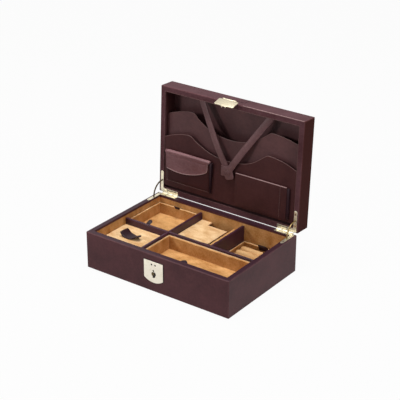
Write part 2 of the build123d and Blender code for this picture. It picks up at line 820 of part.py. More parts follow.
def hasp_rod(x, radius, mode=Mode.ADD):
    """A round bar on the hasp's axis, between a pair of x from the hasp's middle."""
    axis = hasp_frame().origin
    rod((axis.X + x[0], axis.X + x[1]), axis.Y, axis.Z, radius, mode)


def make_hasp():
    """Bracket, pin, hinged plate and two-pronged staple, by name."""
    frame = hasp_frame()
    half = hasp_knuckle_width / 2
    play = hasp_pin_radius + pin_play
    outer_knuckles = [(-bracket_width / 2, -half - hasp_knuckle_gap),
                      (half + hasp_knuckle_gap, bracket_width / 2)]
    low = lid_rim + hasp_above_rim - hasp_thick / 2
    with BuildPart() as bracket:
        x = (lock_x - bracket_width / 2, lock_x + bracket_width / 2)
        block(lid_frame, x, (lid_front - bracket_thick, lid_front), (low, low + bracket_height))
        middle = (lock_x - half - hasp_knuckle_gap, lock_x + half + hasp_knuckle_gap)
        room = hasp_knuckle + hasp_knuckle_gap
        block(lid_frame, middle, (lid_front - hasp_stand, lid_front), (low, low + room),
              Mode.SUBTRACT)
        for pair in outer_knuckles:
            web = (lock_x + pair[0], lock_x + pair[1])
            block(lid_frame, web, (lid_front - hasp_stand, lid_front), (low, low + hasp_thick))
            hasp_rod(pair, hasp_knuckle)
            hasp_rod(pair, play, Mode.SUBTRACT)
    with BuildPart() as pin:
        hasp_rod(both_ways(bracket_width / 2), hasp_pin_radius)
    thick = both_ways(hasp_thick / 2)
    with BuildPart() as plate:
        top = -(hasp_knuckle + hasp_knuckle_gap)
        block(frame, both_ways(hasp_width / 2), (-hasp_length, top), thick)
        corners = plate.edges().filter_by(Axis(frame.origin, frame.z_dir))
        low_corners = corners.sort_by(Axis(frame.origin, frame.y_dir))[:2]
        fillet(low_corners, hasp_corner)
        block(frame, both_ways(half), (top, 0), thick)
        hasp_rod(both_ways(half), hasp_knuckle)
        hasp_rod(both_ways(half), play, Mode.SUBTRACT)
    with BuildPart() as staple:
        back = -hasp_thick / 2
        middle = -prong_reach
        y = (middle - prong_height / 2, middle + prong_height / 2)
        block(frame, both_ways(prong_spread + prong), y, (back - staple_plate, back))
        for x in prong_places():
            block(frame, (x - prong / 2, x + prong / 2), y, (back - prong_depth, back))
            gap = -hasp_stand - bolt_set_back
            notch = (gap - bolt - bolt_play, gap + bolt_play)
            block(frame, (x - prong / 2, x + prong / 2), (y[0], y[1] - prong_hook), notch,
                  Mode.SUBTRACT)
    return {"hasp_bracket": bracket, "hasp_pin": pin, "hasp_plate": plate, "hasp_staple": staple}


# Pockets, purse and strap in the lid

def make_pocket_panel(front, wall_edge, peak_edge, valley_edge):
    """A panel across the lid whose top edge rises to two peaks with a valley between them."""
    wall_x = inside_x
    half_x = (wall_x + peak_x) / 2
    bulge = (peak_edge - wall_edge) * peak_bulge
    low = lid_inside_back
    with BuildPart() as wavy:
        with BuildSketch(lid_frame.offset(lid_rim + front)) as outline:
            with BuildLine():
                Polyline((-wall_x, -wall_edge), (-wall_x, low), (wall_x, low),
                         (wall_x, -wall_edge))
                ThreePointArc((wall_x, -wall_edge), (half_x, -wall_edge - bulge),
                              (peak_x, -peak_edge))
                ThreePointArc((peak_x, -peak_edge), (0, -valley_edge), (-peak_x, -peak_edge))
                ThreePointArc((-peak_x, -peak_edge), (-half_x, -wall_edge - bulge),
                              (-wall_x, -wall_edge))
            make_face()
            peaks = outline.vertices().filter_by(
                lambda corner: abs(abs(corner.X) - peak_x) < 1 and corner.Y < low
            )
            fillet(peaks, peak_round)
        extrude(amount=pocket_board)
    return wavy


def make_purse():
    """The purse on the lower panel, and its flap that folds up about the top edge."""
    face = lid_rim + lower_pocket_front
    outer = face - purse_thick
    with BuildPart() as purse:
        soft_block(lid_frame, purse_x, (-purse_far, -purse_near), (outer, face), soft_corner)
    flap_face = outer - flap_play
    with BuildPart() as flap:
        with BuildSketch(lid_frame.offset(flap_face - flap_thick)):
            with BuildLine():
                Polyline((purse_x[0], -flap_left), (purse_x[0], -purse_far),
                         (purse_x[1], -purse_far), (purse_x[1], -flap_right))
                ThreePointArc((purse_x[1], -flap_right), (flap_low_x, -flap_low),
                              (purse_x[0], -flap_left))
            make_face()
        extrude(amount=flap_thick)
    return {"purse_body": purse, "purse_flap": flap}


def make_flat_pocket():
    """The flat pocket on the lower panel."""
    face = lid_rim + lower_pocket_front
    with BuildPart() as pocket:
        soft_block(lid_frame, flat_pocket_x, (-flat_pocket_far, -flat_pocket_near),
                   (face - flat_pocket_thick, face), soft_corner)
    return pocket


def strap_x(hand, reach):
    """The middle of a strap at a distance from the hinge axis."""
    top = -lid_inside_front - strap_anchor_gap
    return strap_centre + hand * strap_spread * (reach - stud_reach) / (top - stud_reach)


def make_strap(hand, level, end, round_end):
    """One strap: it comes down from the lid's front wall, then lies level on the pockets."""
    top = -lid_inside_front - strap_anchor_gap
    anchor = lid_rim + strap_anchor_high
    flat = lid_rim + level
    half = strap_thick / 2
    origin = lid_frame.from_local_coords((-inside_x, 0, 0))
    side = Plane(origin=origin, x_dir=lid_frame.y_dir, z_dir=lid_frame.x_dir)
    with BuildPart() as strap:
        with BuildSketch(side):
            with BuildLine():
                Polyline((-top, anchor - half), (-strap_bend, flat - half), (0, flat - half),
                         (0, flat + half), (-strap_bend, flat + half), (-top, anchor + half),
                         close=True)
            make_face()
        extrude(amount=2 * inside_x)
        start = Vector(strap_x(hand, top), -top)
        finish_at = Vector(strap_x(hand, end), -end)
        along = (finish_at - start).normalized()
        tip = finish_at - along * (strap_width / 2)
        over = start - along * strap_width / 2
        across = Vector(-along.Y, along.X) * (strap_width / 2)
        last = tip if round_end else finish_at
        with BuildSketch(lid_frame.offset(lid_rim - lid_height)) as strip:
            with BuildLine():
                corners = (over + across, last + across, last - across, over - across)
                Polyline(*[(corner.X, corner.Y) for corner in corners], close=True)
            make_face()
            if round_end:
                with Locations((tip.X, tip.Y)):
                    Circle(strap_width / 2)
        extrude(strip.sketch, amount=2 * lid_height, mode=Mode.INTERSECT)
    return strap


def make_v_strap():
    """Both straps, the press stud's cap and its socket, by name."""
    left = make_strap(hands["left"], strap_level, left_strap_end, False)
    outer_level = strap_level - strap_thick - strap_lap
    right = make_strap(hands["right"], outer_level, right_strap_end, True)
    place = (strap_centre, -stud_reach)
    face = lid_rim + outer_level - strap_thick / 2
    panel_face = lid_rim + lower_pocket_front
    for strap in (left, right):
        with strap:
            disc(lid_frame, place, stud_post, (face, panel_face), Mode.SUBTRACT)
    with BuildPart() as cap:
        with BuildSketch(lid_frame.offset(face)) as rim:
            with Locations(place):
                Circle(stud_radius)
        extrude(rim.sketch, amount=-stud_dome)
        dome = cap.faces().sort_by(Axis(lid_frame.origin, lid_frame.z_dir))[0]
        fillet(dome.edges(), stud_round)
        disc(lid_frame, place, stud_post, (face, panel_face - socket_thick - stud_play))
    with BuildPart() as socket:
        disc(lid_frame, place, socket_radius, (panel_face - socket_thick, panel_face))
    return {"left_strap": left, "right_strap": right, "stud_cap": cap, "stud_socket": socket}


def main():
    """Make every piece and write it."""
    os.makedirs("parts", exist_ok=True)
    pieces = {}
    pieces.update(make_base_boards())
    pieces.update(make_base_covers())
    pieces.update(make_lid_boards())
    pieces.update(make_lid_covers())
    pieces.update(make_dividers())
    pieces.update(make_left_trays())
    pieces.update(make_front_right_tray())
    pieces.update(make_ring_tray())
    pieces.update(make_middle_panel())
    pieces.update(make_front_left_panel())
    pieces.update(make_lock())
    pieces.update(make_hasp())
    pieces.update(make_purse())
    pieces["flat_pocket"] = make_flat_pocket()
    pieces.update(make_v_strap())
    pieces["upper_pocket_panel"] = make_pocket_panel(
        upper_pocket_front, upper_wall_edge, upper_peak_edge, upper_valley_edge
    )
    pieces["lower_pocket_panel"] = make_pocket_panel(
        lower_pocket_front, lower_wall_edge, lower_peak_edge, lower_valley_edge
    )
    for name, hand in hands.items():
        pieces[f"hinge_{name}_base_leaf"] = make_leaf(base_hinge_frame, across_base, hand)
        pieces[f"hinge_{name}_lid_leaf"] = make_leaf(lid_frame, across_lid, hand)
        pieces[f"stay_{name}"] = make_stay(hand)
    pieces["base_hinge_screws"] = make_screws(base_hinge_frame, across_base)
    pieces["lid_hinge_screws"] = make_screws(lid_frame, across_lid)
    with BuildPart() as pins:
        for hand in hands.values():
            rod(from_side(hand, barrel_start, barrel_end()), hinge_y, hinge_z, pin_radius)
    pieces["hinge_pins"] = pins
    for name, piece in pieces.items():
        finish(piece, name)


main()
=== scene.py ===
import json
import math
import bpy
import bmesh
from mathutils import Matrix, Vector


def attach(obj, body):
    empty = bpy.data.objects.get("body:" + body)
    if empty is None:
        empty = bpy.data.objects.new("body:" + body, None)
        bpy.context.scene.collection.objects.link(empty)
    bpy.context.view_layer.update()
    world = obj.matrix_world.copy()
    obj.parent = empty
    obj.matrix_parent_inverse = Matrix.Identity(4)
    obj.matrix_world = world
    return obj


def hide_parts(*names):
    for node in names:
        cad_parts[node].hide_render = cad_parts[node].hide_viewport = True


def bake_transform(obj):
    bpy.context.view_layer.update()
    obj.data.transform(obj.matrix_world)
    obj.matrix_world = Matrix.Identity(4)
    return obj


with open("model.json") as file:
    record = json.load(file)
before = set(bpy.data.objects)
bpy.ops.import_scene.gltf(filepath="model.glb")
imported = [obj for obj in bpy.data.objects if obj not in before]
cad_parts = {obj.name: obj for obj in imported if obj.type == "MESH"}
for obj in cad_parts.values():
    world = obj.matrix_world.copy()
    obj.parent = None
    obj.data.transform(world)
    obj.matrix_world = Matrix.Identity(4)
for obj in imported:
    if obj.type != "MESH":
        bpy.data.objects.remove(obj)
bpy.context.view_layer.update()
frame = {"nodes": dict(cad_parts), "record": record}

# A leather jewellery case, dressed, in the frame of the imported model: X runs left to right, Y
# front to back and Z up. Typed sizes are in millimetres. The lid stands open, so what lies in it
# is placed in its own directions: x, v towards the back and w up when it is shut, both from the
# hinges' axis.
mm = 0.001
WIDTH, DEPTH, BASE_HEIGHT, LID_HEIGHT = 300, 203, 69.6, 32.2
RIM_GAP = 0.2               # between the shut rims
HINGE_BACK = 103.1          # from the middle of the case to the hinges' axis
HINGE = Vector((0, HINGE_BACK, BASE_HEIGHT + RIM_GAP)) * mm
OPEN = math.radians(92.7)
LID_V = Vector((0, math.cos(OPEN), -math.sin(OPEN)))
LID_W = Vector((0, math.sin(OPEN), math.cos(OPEN)))
LID_AXES = Matrix((Vector((1, 0, 0)), LID_V, LID_W))
LID_PLACE = Matrix.Translation(HINGE) @ LID_AXES.transposed().to_4x4()


def in_lid(x, v, w):
    """A place in the lid, from millimetres in its own directions."""
    return HINGE + Vector((x, 0, 0)) * mm + LID_V * v * mm + LID_W * w * mm


def tint(code):
    """A colour as it looks on a screen, made linear."""
    parts = [int(code[i:i + 2], 16) / 255 for i in (0, 2, 4)]
    return tuple(p / 12.92 if p < 0.04045 else ((p + 0.055) / 1.055) ** 2.4 for p in parts) + (1,)


# Finishes

class Wire:
    """A value in a finish. Sums and products of it add their own nodes."""

    def __init__(self, finish, socket):
        self.finish = finish
        self.socket = socket

    def math(self, operation, first, second=0.0):
        return self.finish.node("Math", {"operation": operation}, {0: first, 1: second})

    def __add__(self, other):
        return self.math("ADD", self, other)

    def __radd__(self, other):
        return self.math("ADD", other, self)

    def __sub__(self, other):
        return self.math("SUBTRACT", self, other)

    def __rsub__(self, other):
        return self.math("SUBTRACT", other, self)

    def __mul__(self, other):
        return self.math("MULTIPLY", self, other)

    def __rmul__(self, other):
        return self.math("MULTIPLY", other, self)

    def __abs__(self):
        return self.math("ABSOLUTE", self)

    def larger(self, other):
        return self.math("MAXIMUM", self, other)

    def fade(self, start, end):
        """Goes smoothly from 0 at start to 1 at end."""
        return self.finish.node("MapRange", {"interpolation_type": "SMOOTHSTEP"},
                                {"Value": self, "From Min": start, "From Max": end})


class Finish:
    """One material and its nodes."""

    def __init__(self, name, **constants):
        self.material = bpy.data.materials.new(name)
        self.material.use_nodes = True
        self.tree = self.material.node_tree
        self.shader = self.tree.nodes["Principled BSDF"]
        for socket, value in constants.items():
            self.shader.inputs[socket.replace("_", " ")].default_value = value

    def node(self, kind, settings=None, sockets=None, out=0):
        made = self.tree.nodes.new("ShaderNode" + kind)
        for key, value in (settings or {}).items():
            setattr(made, key, value)
        for key, value in (sockets or {}).items():
            socket = made.inputs[key]
            if isinstance(value, Wire):
                self.tree.links.new(value.socket, socket)
            else:
                socket.default_value = value
        return Wire(self, made.outputs[out])

    def object_place(self):
        return self.node("TexCoord", out="Object")

    def turned(self, place, turn=(0, 0, 0), scale=(1, 1, 1), shift=(0, 0, 0)):
        return self.node("Mapping", {}, {"Vector": place, "Rotation": turn, "Scale": scale,
                                         "Location": shift})

    def noise(self, place, size, detail=4.0, rough=0.55):
        """Cloudy noise whose patches are about this many millimetres across."""
        return self.node("TexNoise", {}, {"Vector": place, "Scale": 1000 / size,
                                          "Detail": detail, "Roughness": rough})

    def cells(self, place, size, feature="F1"):
        return self.node("TexVoronoi", {"feature": feature}, {"Vector": place,
                                                              "Scale": 1000 / size})

    def axes(self, place):
        """The three directions of a place, in millimetres."""
        return [self.node("SeparateXYZ", {}, {0: place}, out) * 1000 for out in range(3)]

    def blend(self, first, second, share):
        """Two colours mixed by a share of the second."""
        return self.node("Mix", {"data_type": "RGBA"}, {0: share, 6: first, 7: second}, 2)

    def relief(self, height, strength, depth):
        """Normals for a height between 0 and 1 that stands this many millimetres deep."""
        return self.node("Bump", {}, {"Height": height, "Strength": strength,
                                      "Distance": depth * mm})

    def use(self, **links):
        for socket, wire in links.items():
            self.tree.links.new(wire.socket, self.shader.inputs[socket.replace("_", " ")])
        return self.material


def near_edges(finish, place, half, reach):
    """A share that rises to 1 on the edges of a block of this half size, in millimetres."""
    gaps = [1 - (size - abs(way)).fade(0, reach) for way, size in zip(finish.axes(place), half)]
    return (gaps[0] * gaps[1]).larger(gaps[1] * gaps[2]).larger(gaps[0] * gaps[2])


# Paler leather edges, partly wear and partly painted highlight: how far they reach in millimetres,
# and their colour.
WORN_HIGHLIGHT_REACH, WORN_HIGHLIGHT_COLOUR = 2.6, "8a6264"


def leather(name, dark="412226", light="593236", grain=0.9, edges=None, rough=0.46, shine=0.16,
            shaded_ends=None, shaded_top=None):
    """Fine grained leather. edges names a block whose corners are painted a little paler, partly
    as wear and partly as painted highlight. ends is a darker, redder colour painted on that
    block's two end faces as painted shade, and crown a darker colour painted on its top as painted
    shade."""
    finish = Finish(name, Coat_Weight=0.0, Specular_IOR_Level=shine, Sheen_Weight=0.04,
                    Sheen_Roughness=0.4)
    place = finish.object_place()
    clouds = finish.noise(place, 46, 3.0)
    mottle = finish.noise(place, 4.2, 5.0, 0.65)
    pores = finish.cells(place, grain, "SMOOTH_F1")
    slanted = finish.turned(place, turn=(0.3, 0.5, 0.8), scale=(1, 1, 3.2))
    creases = finish.noise(slanted, 9, 6.0, 0.7)
    tone = clouds * 0.55 + mottle * 0.3 + creases * 0.15
    colour = finish.blend(tint(dark), tint(light), tone.fade(0.3, 0.7))
    roughness = rough - 0.06 + mottle * 0.12
    if edges:
        turn, shift, half = edges
        own = finish.turned(place, turn=turn, shift=shift)
        # Painted shade: the block's two end faces are painted a darker, redder colour.
        if shaded_ends:
            on_shaded_end = abs(finish.axes(own)[0]).fade(half[0] - 1.1, half[0] - 0.5)
            colour = finish.blend(colour, tint(shaded_ends), on_shaded_end * (0.85 + mottle * 0.15))
        # Painted shade: the block's top face is painted a darker colour, to hold down the light
        # that falls on it from above.
        if shaded_top:
            on_shaded_top = finish.axes(own)[2].fade(half[2] - 0.9, half[2] - 0.4)
            colour = finish.blend(colour, tint(shaded_top), on_shaded_top * 0.85)
        # Paler edges: partly wear, partly painted highlight for the light caught on the edges.
        worn = near_edges(finish, own, half, WORN_HIGHLIGHT_REACH) * (mottle * 0.8 + clouds * 0.5)
        colour = finish.blend(colour, tint(WORN_HIGHLIGHT_COLOUR), worn * 0.42)
        roughness = roughness - worn * 0.08
    height = pores * 0.7 + creases * 0.5 + mottle * 0.35
    return finish.use(Base_Color=colour, Roughness=roughness,
                      Normal=finish.relief(height, 0.32, 0.12))


WALL_SHADE_SHARE = 0.38           # of the darker wall colour, painted on an upright face of suede as painted shade


def suede(name, dark="ad7338", light="ecb97b", nap=3.0, turn=(0.0, 0.0, 0.5), wall=None):
    """Napped suede: brushed patches, and a very fine fibre. On upright faces the darker wall
    colour is painted in as painted shade, for the weaker light that falls on them."""
    finish = Finish(name, Sheen_Weight=0.15, Sheen_Roughness=0.45, Specular_IOR_Level=0.12)
    finish.shader.inputs["Sheen Tint"].default_value = tint("f6dcb4")
    place = finish.object_place()
    patches = finish.noise(finish.turned(place, turn=turn, scale=(1, 1.9, 1)), 24, 3.0, 0.5)
    brushed = finish.noise(finish.turned(place, turn=turn, scale=(1, 3.4, 1)), nap, 4.0, 0.6)
    fibre = finish.noise(place, 0.42, 3.0, 0.8)
    tone = patches * 0.5 + brushed * 0.3 + fibre * 0.2
    colour = finish.blend(tint(dark), tint(light), tone.fade(0.29, 0.69))
    # Painted shade: upright faces are mixed towards the darker wall colour.
    if wall:
        facing = finish.node("NewGeometry", out="Normal")
        rise = abs(finish.node("SeparateXYZ", {}, {0: facing}, 2))
        upright_shade = WALL_SHADE_SHARE - rise.fade(0.4, 0.85) * WALL_SHADE_SHARE
        colour = finish.blend(colour, tint(wall), upright_shade)
    height = fibre * 0.7 + brushed * 0.5
    return finish.use(Base_Color=colour, Roughness=0.9 - fibre * 0.12,
                      Normal=finish.relief(height, 0.5, 0.18))


def metal(name, colour="f3e6c6", dull="cdbb92", rough=0.24, brushed=(1, 14, 14)):
    """Plated metal, lightly brushed, with a few dull marks."""
    finish = Finish(name)
    place = finish.object_place()
    lines = finish.noise(finish.turned(place, scale=brushed), 5, 5.0, 0.7)
    marks = finish.noise(place, 7, 5.0, 0.7)
    dulled = marks.fade(0.5, 0.72)
    tone = finish.blend(tint(colour), tint(dull), dulled * 0.5 + lines * 0.2)
    return finish.use(Base_Color=tone, Metallic=1 - dulled * 0.04,
                      Roughness=rough + lines * 0.14 + dulled * 0.1,
                      Normal=finish.relief(lines, 0.1, 0.04))


def felt(name):
    """Worn felt."""
    finish = Finish(name, Sheen_Weight=0.2, Specular_IOR_Level=0.1)
    place = finish.object_place()
    fibre = finish.noise(place, 0.7, 5.0, 0.8)
    worn = finish.noise(place, 22, 4.0)
    tone = (fibre * 0.7 + worn * 0.3).fade(0.3, 0.7)
    colour = finish.blend(tint("1c1414"), tint("3c2d2c"), tone)
    return finish.use(Base_Color=colour, Roughness=0.95 - fibre * 0.1,
                      Normal=finish.relief(fibre, 0.7, 0.35))


def fibre_board(name):
    """Pressed board, with its chips drawn out along it."""
    finish = Finish(name, Specular_IOR_Level=0.2)
    place = finish.object_place()
    chips = finish.cells(finish.turned(place, scale=(1, 2.2, 5)), 1.6)
    dust = finish.noise(place, 0.5, 4.0)
    colour = finish.blend(tint("8a6a48"), tint("b08f67"), chips * 0.6 + dust * 0.4)
    return finish.use(Base_Color=colour, Roughness=0.8 + dust * 0.15,
                      Normal=finish.relief(dust, 0.3, 0.2))


# The blocks of the base and of the lid, for their paler edges (partly wear, partly painted
# highlight) and the painted shade on their end faces and top: turn, shift and half size
BASE_BLOCK = ((0, 0, 0), (0, 0, -BASE_HEIGHT / 2 * mm), (WIDTH / 2, DEPTH / 2, BASE_HEIGHT / 2))
lid_middle = in_lid(0, -HINGE_BACK, RIM_GAP + LID_HEIGHT / 2)
lid_turn = LID_AXES.to_euler()
lid_shift = -(lid_turn.to_matrix() @ lid_middle)
LID_BLOCK = (tuple(lid_turn), tuple(lid_shift), (WIDTH / 2, DEPTH / 2, LID_HEIGHT / 2))

# The base's top is painted darker as painted shade.
base_hide = leather("base_leather_hide", edges=BASE_BLOCK, shaded_top="2c1420")
# The lid's end faces are painted darker and redder as painted shade.
lid_hide = leather("lid_leather_hide", dark="482b2e", light="604146", edges=LID_BLOCK, shine=0.02,
                   shaded_ends="40150e")
# A lighter copy of the lid's leather for the upper panel and the top lining: the lightness is
# painted light.
lit_panel_hide = leather("lit_panel_leather", dark="452a2b", light="5a3a3b", grain=0.7, shine=0.2)
soft_hide = leather("soft_leather", dark="351a1b", light="462727", grain=0.7, shine=0.1)
purse_hide = leather("purse_leather", dark="2c1415", light="3b1f20", grain=0.7, shine=0.08)
divider_hide = leather("divider_leather", dark="2a0c1c", light="42192d", grain=0.7, shine=0.4)
flap_hide = leather("flap_leather", dark="5e3c3f", light="7d595c", grain=0.7, rough=0.4)
# The fold roll's lighter colour is painted highlight, for the light falling on the top of the
# fold.
fold_highlight_hide = leather("fold_highlight_leather", dark="7a5659", light="9d7679", grain=0.6, rough=0.36)
strap_hide = leather("strap_leather", dark="553a3b", light="715254", grain=0.6, rough=0.42)
# A lighter leather for raised lines and bound edges: its lightness is painted highlight.
lit_line_hide = leather("turned_edge_lit_leather", dark="4e3534", light="684b49", grain=0.6, rough=0.38)
# A pale leather for piping, hems and the lap edge: its paleness is painted highlight on these thin
# lines.
piping_highlight_hide = leather("piping_highlight_leather", dark="876a69", light="a88987", grain=0.6, rough=0.36)
tab_hide = leather("tab_leather", dark="1c0c12", light="301a22", grain=0.7, rough=0.42)
thread = leather("dark_thread", dark="3a2526", light="4a3233", grain=0.4, rough=0.6)
# 7a4a20 is the painted shade colour of the upright suede faces.
tan_suede = suede("tan_suede_nap", wall="7a4a20")
panel_suede = suede("panel_suede", dark="d09a60", light="fcdaaa", nap=3.4)
roll_suede = suede("roll_suede", dark="c08a52", light="eac18b", nap=2.2, turn=(0, 0, 0.1))
pale_gold = metal("pale_gold_plate", colour="ece4d4", dull="cfc4a8")
# Darker, duller copies of the pale gold plating for the hinges and the hasp: the darkening is
# painted shade that holds their brightness down.
hinge_shaded_gold = metal("hinge_shaded_gold", colour="e0d8c2", dull="b3a67f", rough=0.34)
hasp_shaded_gold = metal("hasp_shaded_gold", colour="cdc3ab", dull="b5a988", rough=0.34)
# A darker copy of the stay brass for the left stay: its darkness is painted shade and painted dark
# reflection.
stay_shade_brass = metal("stay_brass_painted_shade", colour="4a3d26", dull="2c2415", rough=0.42)
stay_brass = metal("stay_brass", colour="8e7850", dull="5a4a30", rough=0.3)
# A paler suede for the tray rims: the paleness is painted highlight.
rim_highlight_suede = suede("rim_highlight_suede", dark="dbae78", light="f4d8ae", nap=2.0)
gold_turned = metal("pale_gold_turned", rough=0.2, brushed=(3, 3, 3))
lock_steel = metal("lock_steel", colour="3a3430", dull="1d1a18", rough=0.5)
dark_felt = felt("foot_felt")
board = fibre_board("bare_board")

SLOT_FINISH = {"burgundy_leather": soft_hide, "tan_suede": tan_suede, "pale_gold_metal": pale_gold,
               "steel": lock_steel, "felt": dark_felt, "wood_board": board}
NODE_FINISH = {"base_leather": base_hide, "lid_leather": lid_hide, "lid_top_lining": lit_panel_hide,
               "long_divider": divider_hide, "left_cross_divider": divider_hide,
               "right_cross_divider": divider_hide, "ring_rolls": roll_suede,
               "front_left_panel": panel_suede, "key_barrel": gold_turned,
               "hasp_pin": gold_turned, "hinge_pins": gold_turned,
               "base_hinge_screws": gold_turned, "lid_hinge_screws": gold_turned}
for part in frame["record"]["subparts"]:
    node = part["node"]
    finish = NODE_FINISH.get(node, SLOT_FINISH[part["material_slot"]])
    frame["nodes"][node].data.materials.clear()
    frame["nodes"][node].data.materials.append(finish)


# Working by hand: a primitive is added, then shaped in edit mode

BODIES = frame["record"]["behaviour"]["bodies"]
BODY_OF = {node: body for body, nodes in BODIES.items() for node in nodes}


def put_down():
    """Leave edit mode, with nothing selected."""
    if bpy.context.object and bpy.context.object.mode != "OBJECT":
        bpy.ops.object.mode_set(mode="OBJECT")
    bpy.ops.object.select_all(action="DESELECT")


def take(*pieces):
    """Select pieces. The first is the one that is worked on."""
    put_down()
    for piece in pieces:
        piece.select_set(True)
    bpy.context.view_layer.objects.active = pieces[0]
    return pieces[0]


def open_up(piece):
    """Start to shape a piece in edit mode."""
    take(piece)
    bpy.ops.object.mode_set(mode="EDIT")


def pick(piece, kind, wanted):
    """In edit mode, select the vertices, edges or faces that pass a test."""
    bpy.ops.mesh.select_mode(type=kind)
    bpy.ops.mesh.select_all(action="DESELECT")
    mesh = bmesh.from_edit_mesh(piece.data)
    for part in {"VERT": mesh.verts, "EDGE": mesh.edges, "FACE": mesh.faces}[kind]:
        if wanted(part):
            part.select_set(True)
    mesh.select_flush_mode()
    bmesh.update_edit_mesh(piece.data)


def work(piece, modifier, **settings):
    """Add a modifier and apply it."""
    take(piece)
    made = piece.modifiers.new(modifier.lower(), modifier)
    for key, value in settings.items():
        setattr(made, key, value)
    bpy.ops.object.modifier_apply(modifier=made.name)
    return piece


def round_edges(piece, width, segments=2, angle=30):
    """Round the edges that are sharper than this angle, in degrees."""
    return work(piece, "BEVEL", width=width * mm, segments=segments, limit_method="ANGLE",
                angle_limit=math.radians(angle))


def face_out(piece):
    """Join corners that touch and turn every face outwards."""
    open_up(piece)
    bpy.ops.mesh.select_all(action="SELECT")
    bpy.ops.mesh.remove_doubles(threshold=0.002 * mm)
    bpy.ops.mesh.normals_make_consistent(inside=False)
    bpy.ops.object.mode_set(mode="OBJECT")
    return piece


def settle(piece, name, finish, node, place=None, replaces=True, smooth=40, bend=None):
    """Put a finished piece in its place and give it its finish. Without bend it is hung on a
    solid's body;
    bend is only tested, and a piece with it is baked in place and hung on no body: the still body
    and the two places it names are not used."""
    take(piece)
    if place:
        piece.matrix_world = place @ piece.matrix_world
    bpy.ops.object.transform_apply(location=True, rotation=True, scale=True)
    piece.name = name
    piece.data.name = name
    piece.data.materials.clear()
    piece.data.materials.append(finish)
    bpy.ops.object.shade_smooth_by_angle(angle=math.radians(smooth))
    if bend:
        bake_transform(piece)
    else:
        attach(piece, BODY_OF[node])
    if replaces:
        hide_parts(node)
    put_down()
    return piece


def softened(node, name, width, finish, segments=2, angle=30):
    """A copy of a solid with its sharp edges rounded off."""
    piece = bpy.data.objects.new(name, frame["nodes"][node].data.copy())
    bpy.context.collection.objects.link(piece)
    open_up(piece)
    bpy.ops.mesh.select_all(action="SELECT")
    bpy.ops.mesh.remove_doubles(threshold=0.005 * mm)
    bpy.ops.mesh.dissolve_limited(angle_limit=math.radians(1.0))
    bpy.ops.object.mode_set(mode="OBJECT")
    round_edges(piece, width, segments, angle)
    return settle(piece, name, finish, node)


def block(low, high, cuts=0):
    """A block between two corners, in millimetres."""
    put_down()
    middle = [(a + b) / 2 * mm for a, b in zip(low, high)]
    bpy.ops.mesh.primitive_cube_add(size=1, location=middle)
    piece = bpy.context.object
    piece.scale = [(b - a) * mm for a, b in zip(low, high)]
    bpy.ops.object.transform_apply(location=True, rotation=True, scale=True)
    if cuts:
        open_up(piece)
        bpy.ops.mesh.select_all(action="SELECT")
        bpy.ops.mesh.subdivide(number_cuts=cuts)
        bpy.ops.object.mode_set(mode="OBJECT")
    return piece


def strip(steps, half, thick, cuts=0, edge=0.4):
    """A leather strip that runs along Y. A step is how far along, how high, and its share of
    the width, in millimetres. It starts as one edge that is drawn out step by step."""
    put_down()
    bpy.ops.mesh.primitive_plane_add(size=2 * half * mm)
    piece = bpy.context.object
    open_up(piece)
    pick(piece, "VERT", lambda spot: spot.co.y > 0)
    bpy.ops.mesh.delete(type="VERT")
    bpy.ops.mesh.select_mode(type="EDGE")
    bpy.ops.mesh.select_all(action="SELECT")
    if cuts:
        bpy.ops.mesh.subdivide(number_cuts=cuts)
    first = steps[0]
    bpy.ops.transform.translate(value=(0, (first[0] + half) * mm, first[1] * mm))
    bpy.ops.transform.resize(value=(first[2], 1, 1), center_override=(0, 0, 0))
    for before, step in zip(steps, steps[1:]):
        way = (0, (step[0] - before[0]) * mm, (step[1] - before[1]) * mm)
        bpy.ops.mesh.extrude_edges_move(TRANSFORM_OT_translate={"value": way})
        bpy.ops.transform.resize(value=(step[2] / before[2], 1, 1), center_override=(0, 0, 0))
    bpy.ops.object.mode_set(mode="OBJECT")
    work(piece, "SOLIDIFY", thickness=thick * mm, offset=0)
    face_out(piece)
    return round_edges(piece, edge, 2, 50)


def tongue(start, end, half, steps=6):
    """Steps of a strip's round end, as (along, share of the width)."""
    turns = [math.pi / 2 * i / steps for i in range(1, steps + 1)]
    centre = end - min(half, end - start)
    return [(centre + (end - centre) * math.sin(turn), max(math.cos(turn), 0.12))
            for turn in turns]


def raised_line(points, thick, flat=1.0):
    """A thin line through points in millimetres, as a mesh. It is round, or flattened to a share
    of its height about its first point."""
    put_down()
    route = bpy.data.curves.new("line", "CURVE")
    route.dimensions = "3D"
    route.bevel_depth = thick * mm
    route.bevel_resolution = 2
    route.use_fill_caps = True
    run = route.splines.new("POLY")
    run.points.add(len(points) - 1)
    for spot, point in zip(run.points, points):
        spot.co = (*(Vector(point) * mm), 1)
    piece = bpy.data.objects.new("line", route)
    bpy.context.collection.objects.link(piece)
    take(piece)
    bpy.ops.object.convert(target="MESH")
    piece = bpy.context.object
    level = points[0][2] * mm
    for spot in piece.data.vertices:
        spot.co.z = level + (spot.co.z - level) * flat
    return piece


def lay_line(points, thick, name, finish, node, place=None, flat=1.0, bend=None):
    """A thin line that is added beside the pieces that stand for a solid."""
    settle(raised_line(points, thick, flat), name, finish, node, place, replaces=False, bend=bend)


def spread(points, pitch):
    """Places and directions along a line, one every pitch millimetres."""
    rows = [Vector(point) for point in points]
    run, found, wait = 0.0, [], pitch / 2
    for first, second in zip(rows, rows[1:]):
        reach = (second - first).length
        while wait < reach:
            found.append((first.lerp(second, wait / reach), (second - first).normalized()))
            wait += pitch
        wait -= reach
    return found


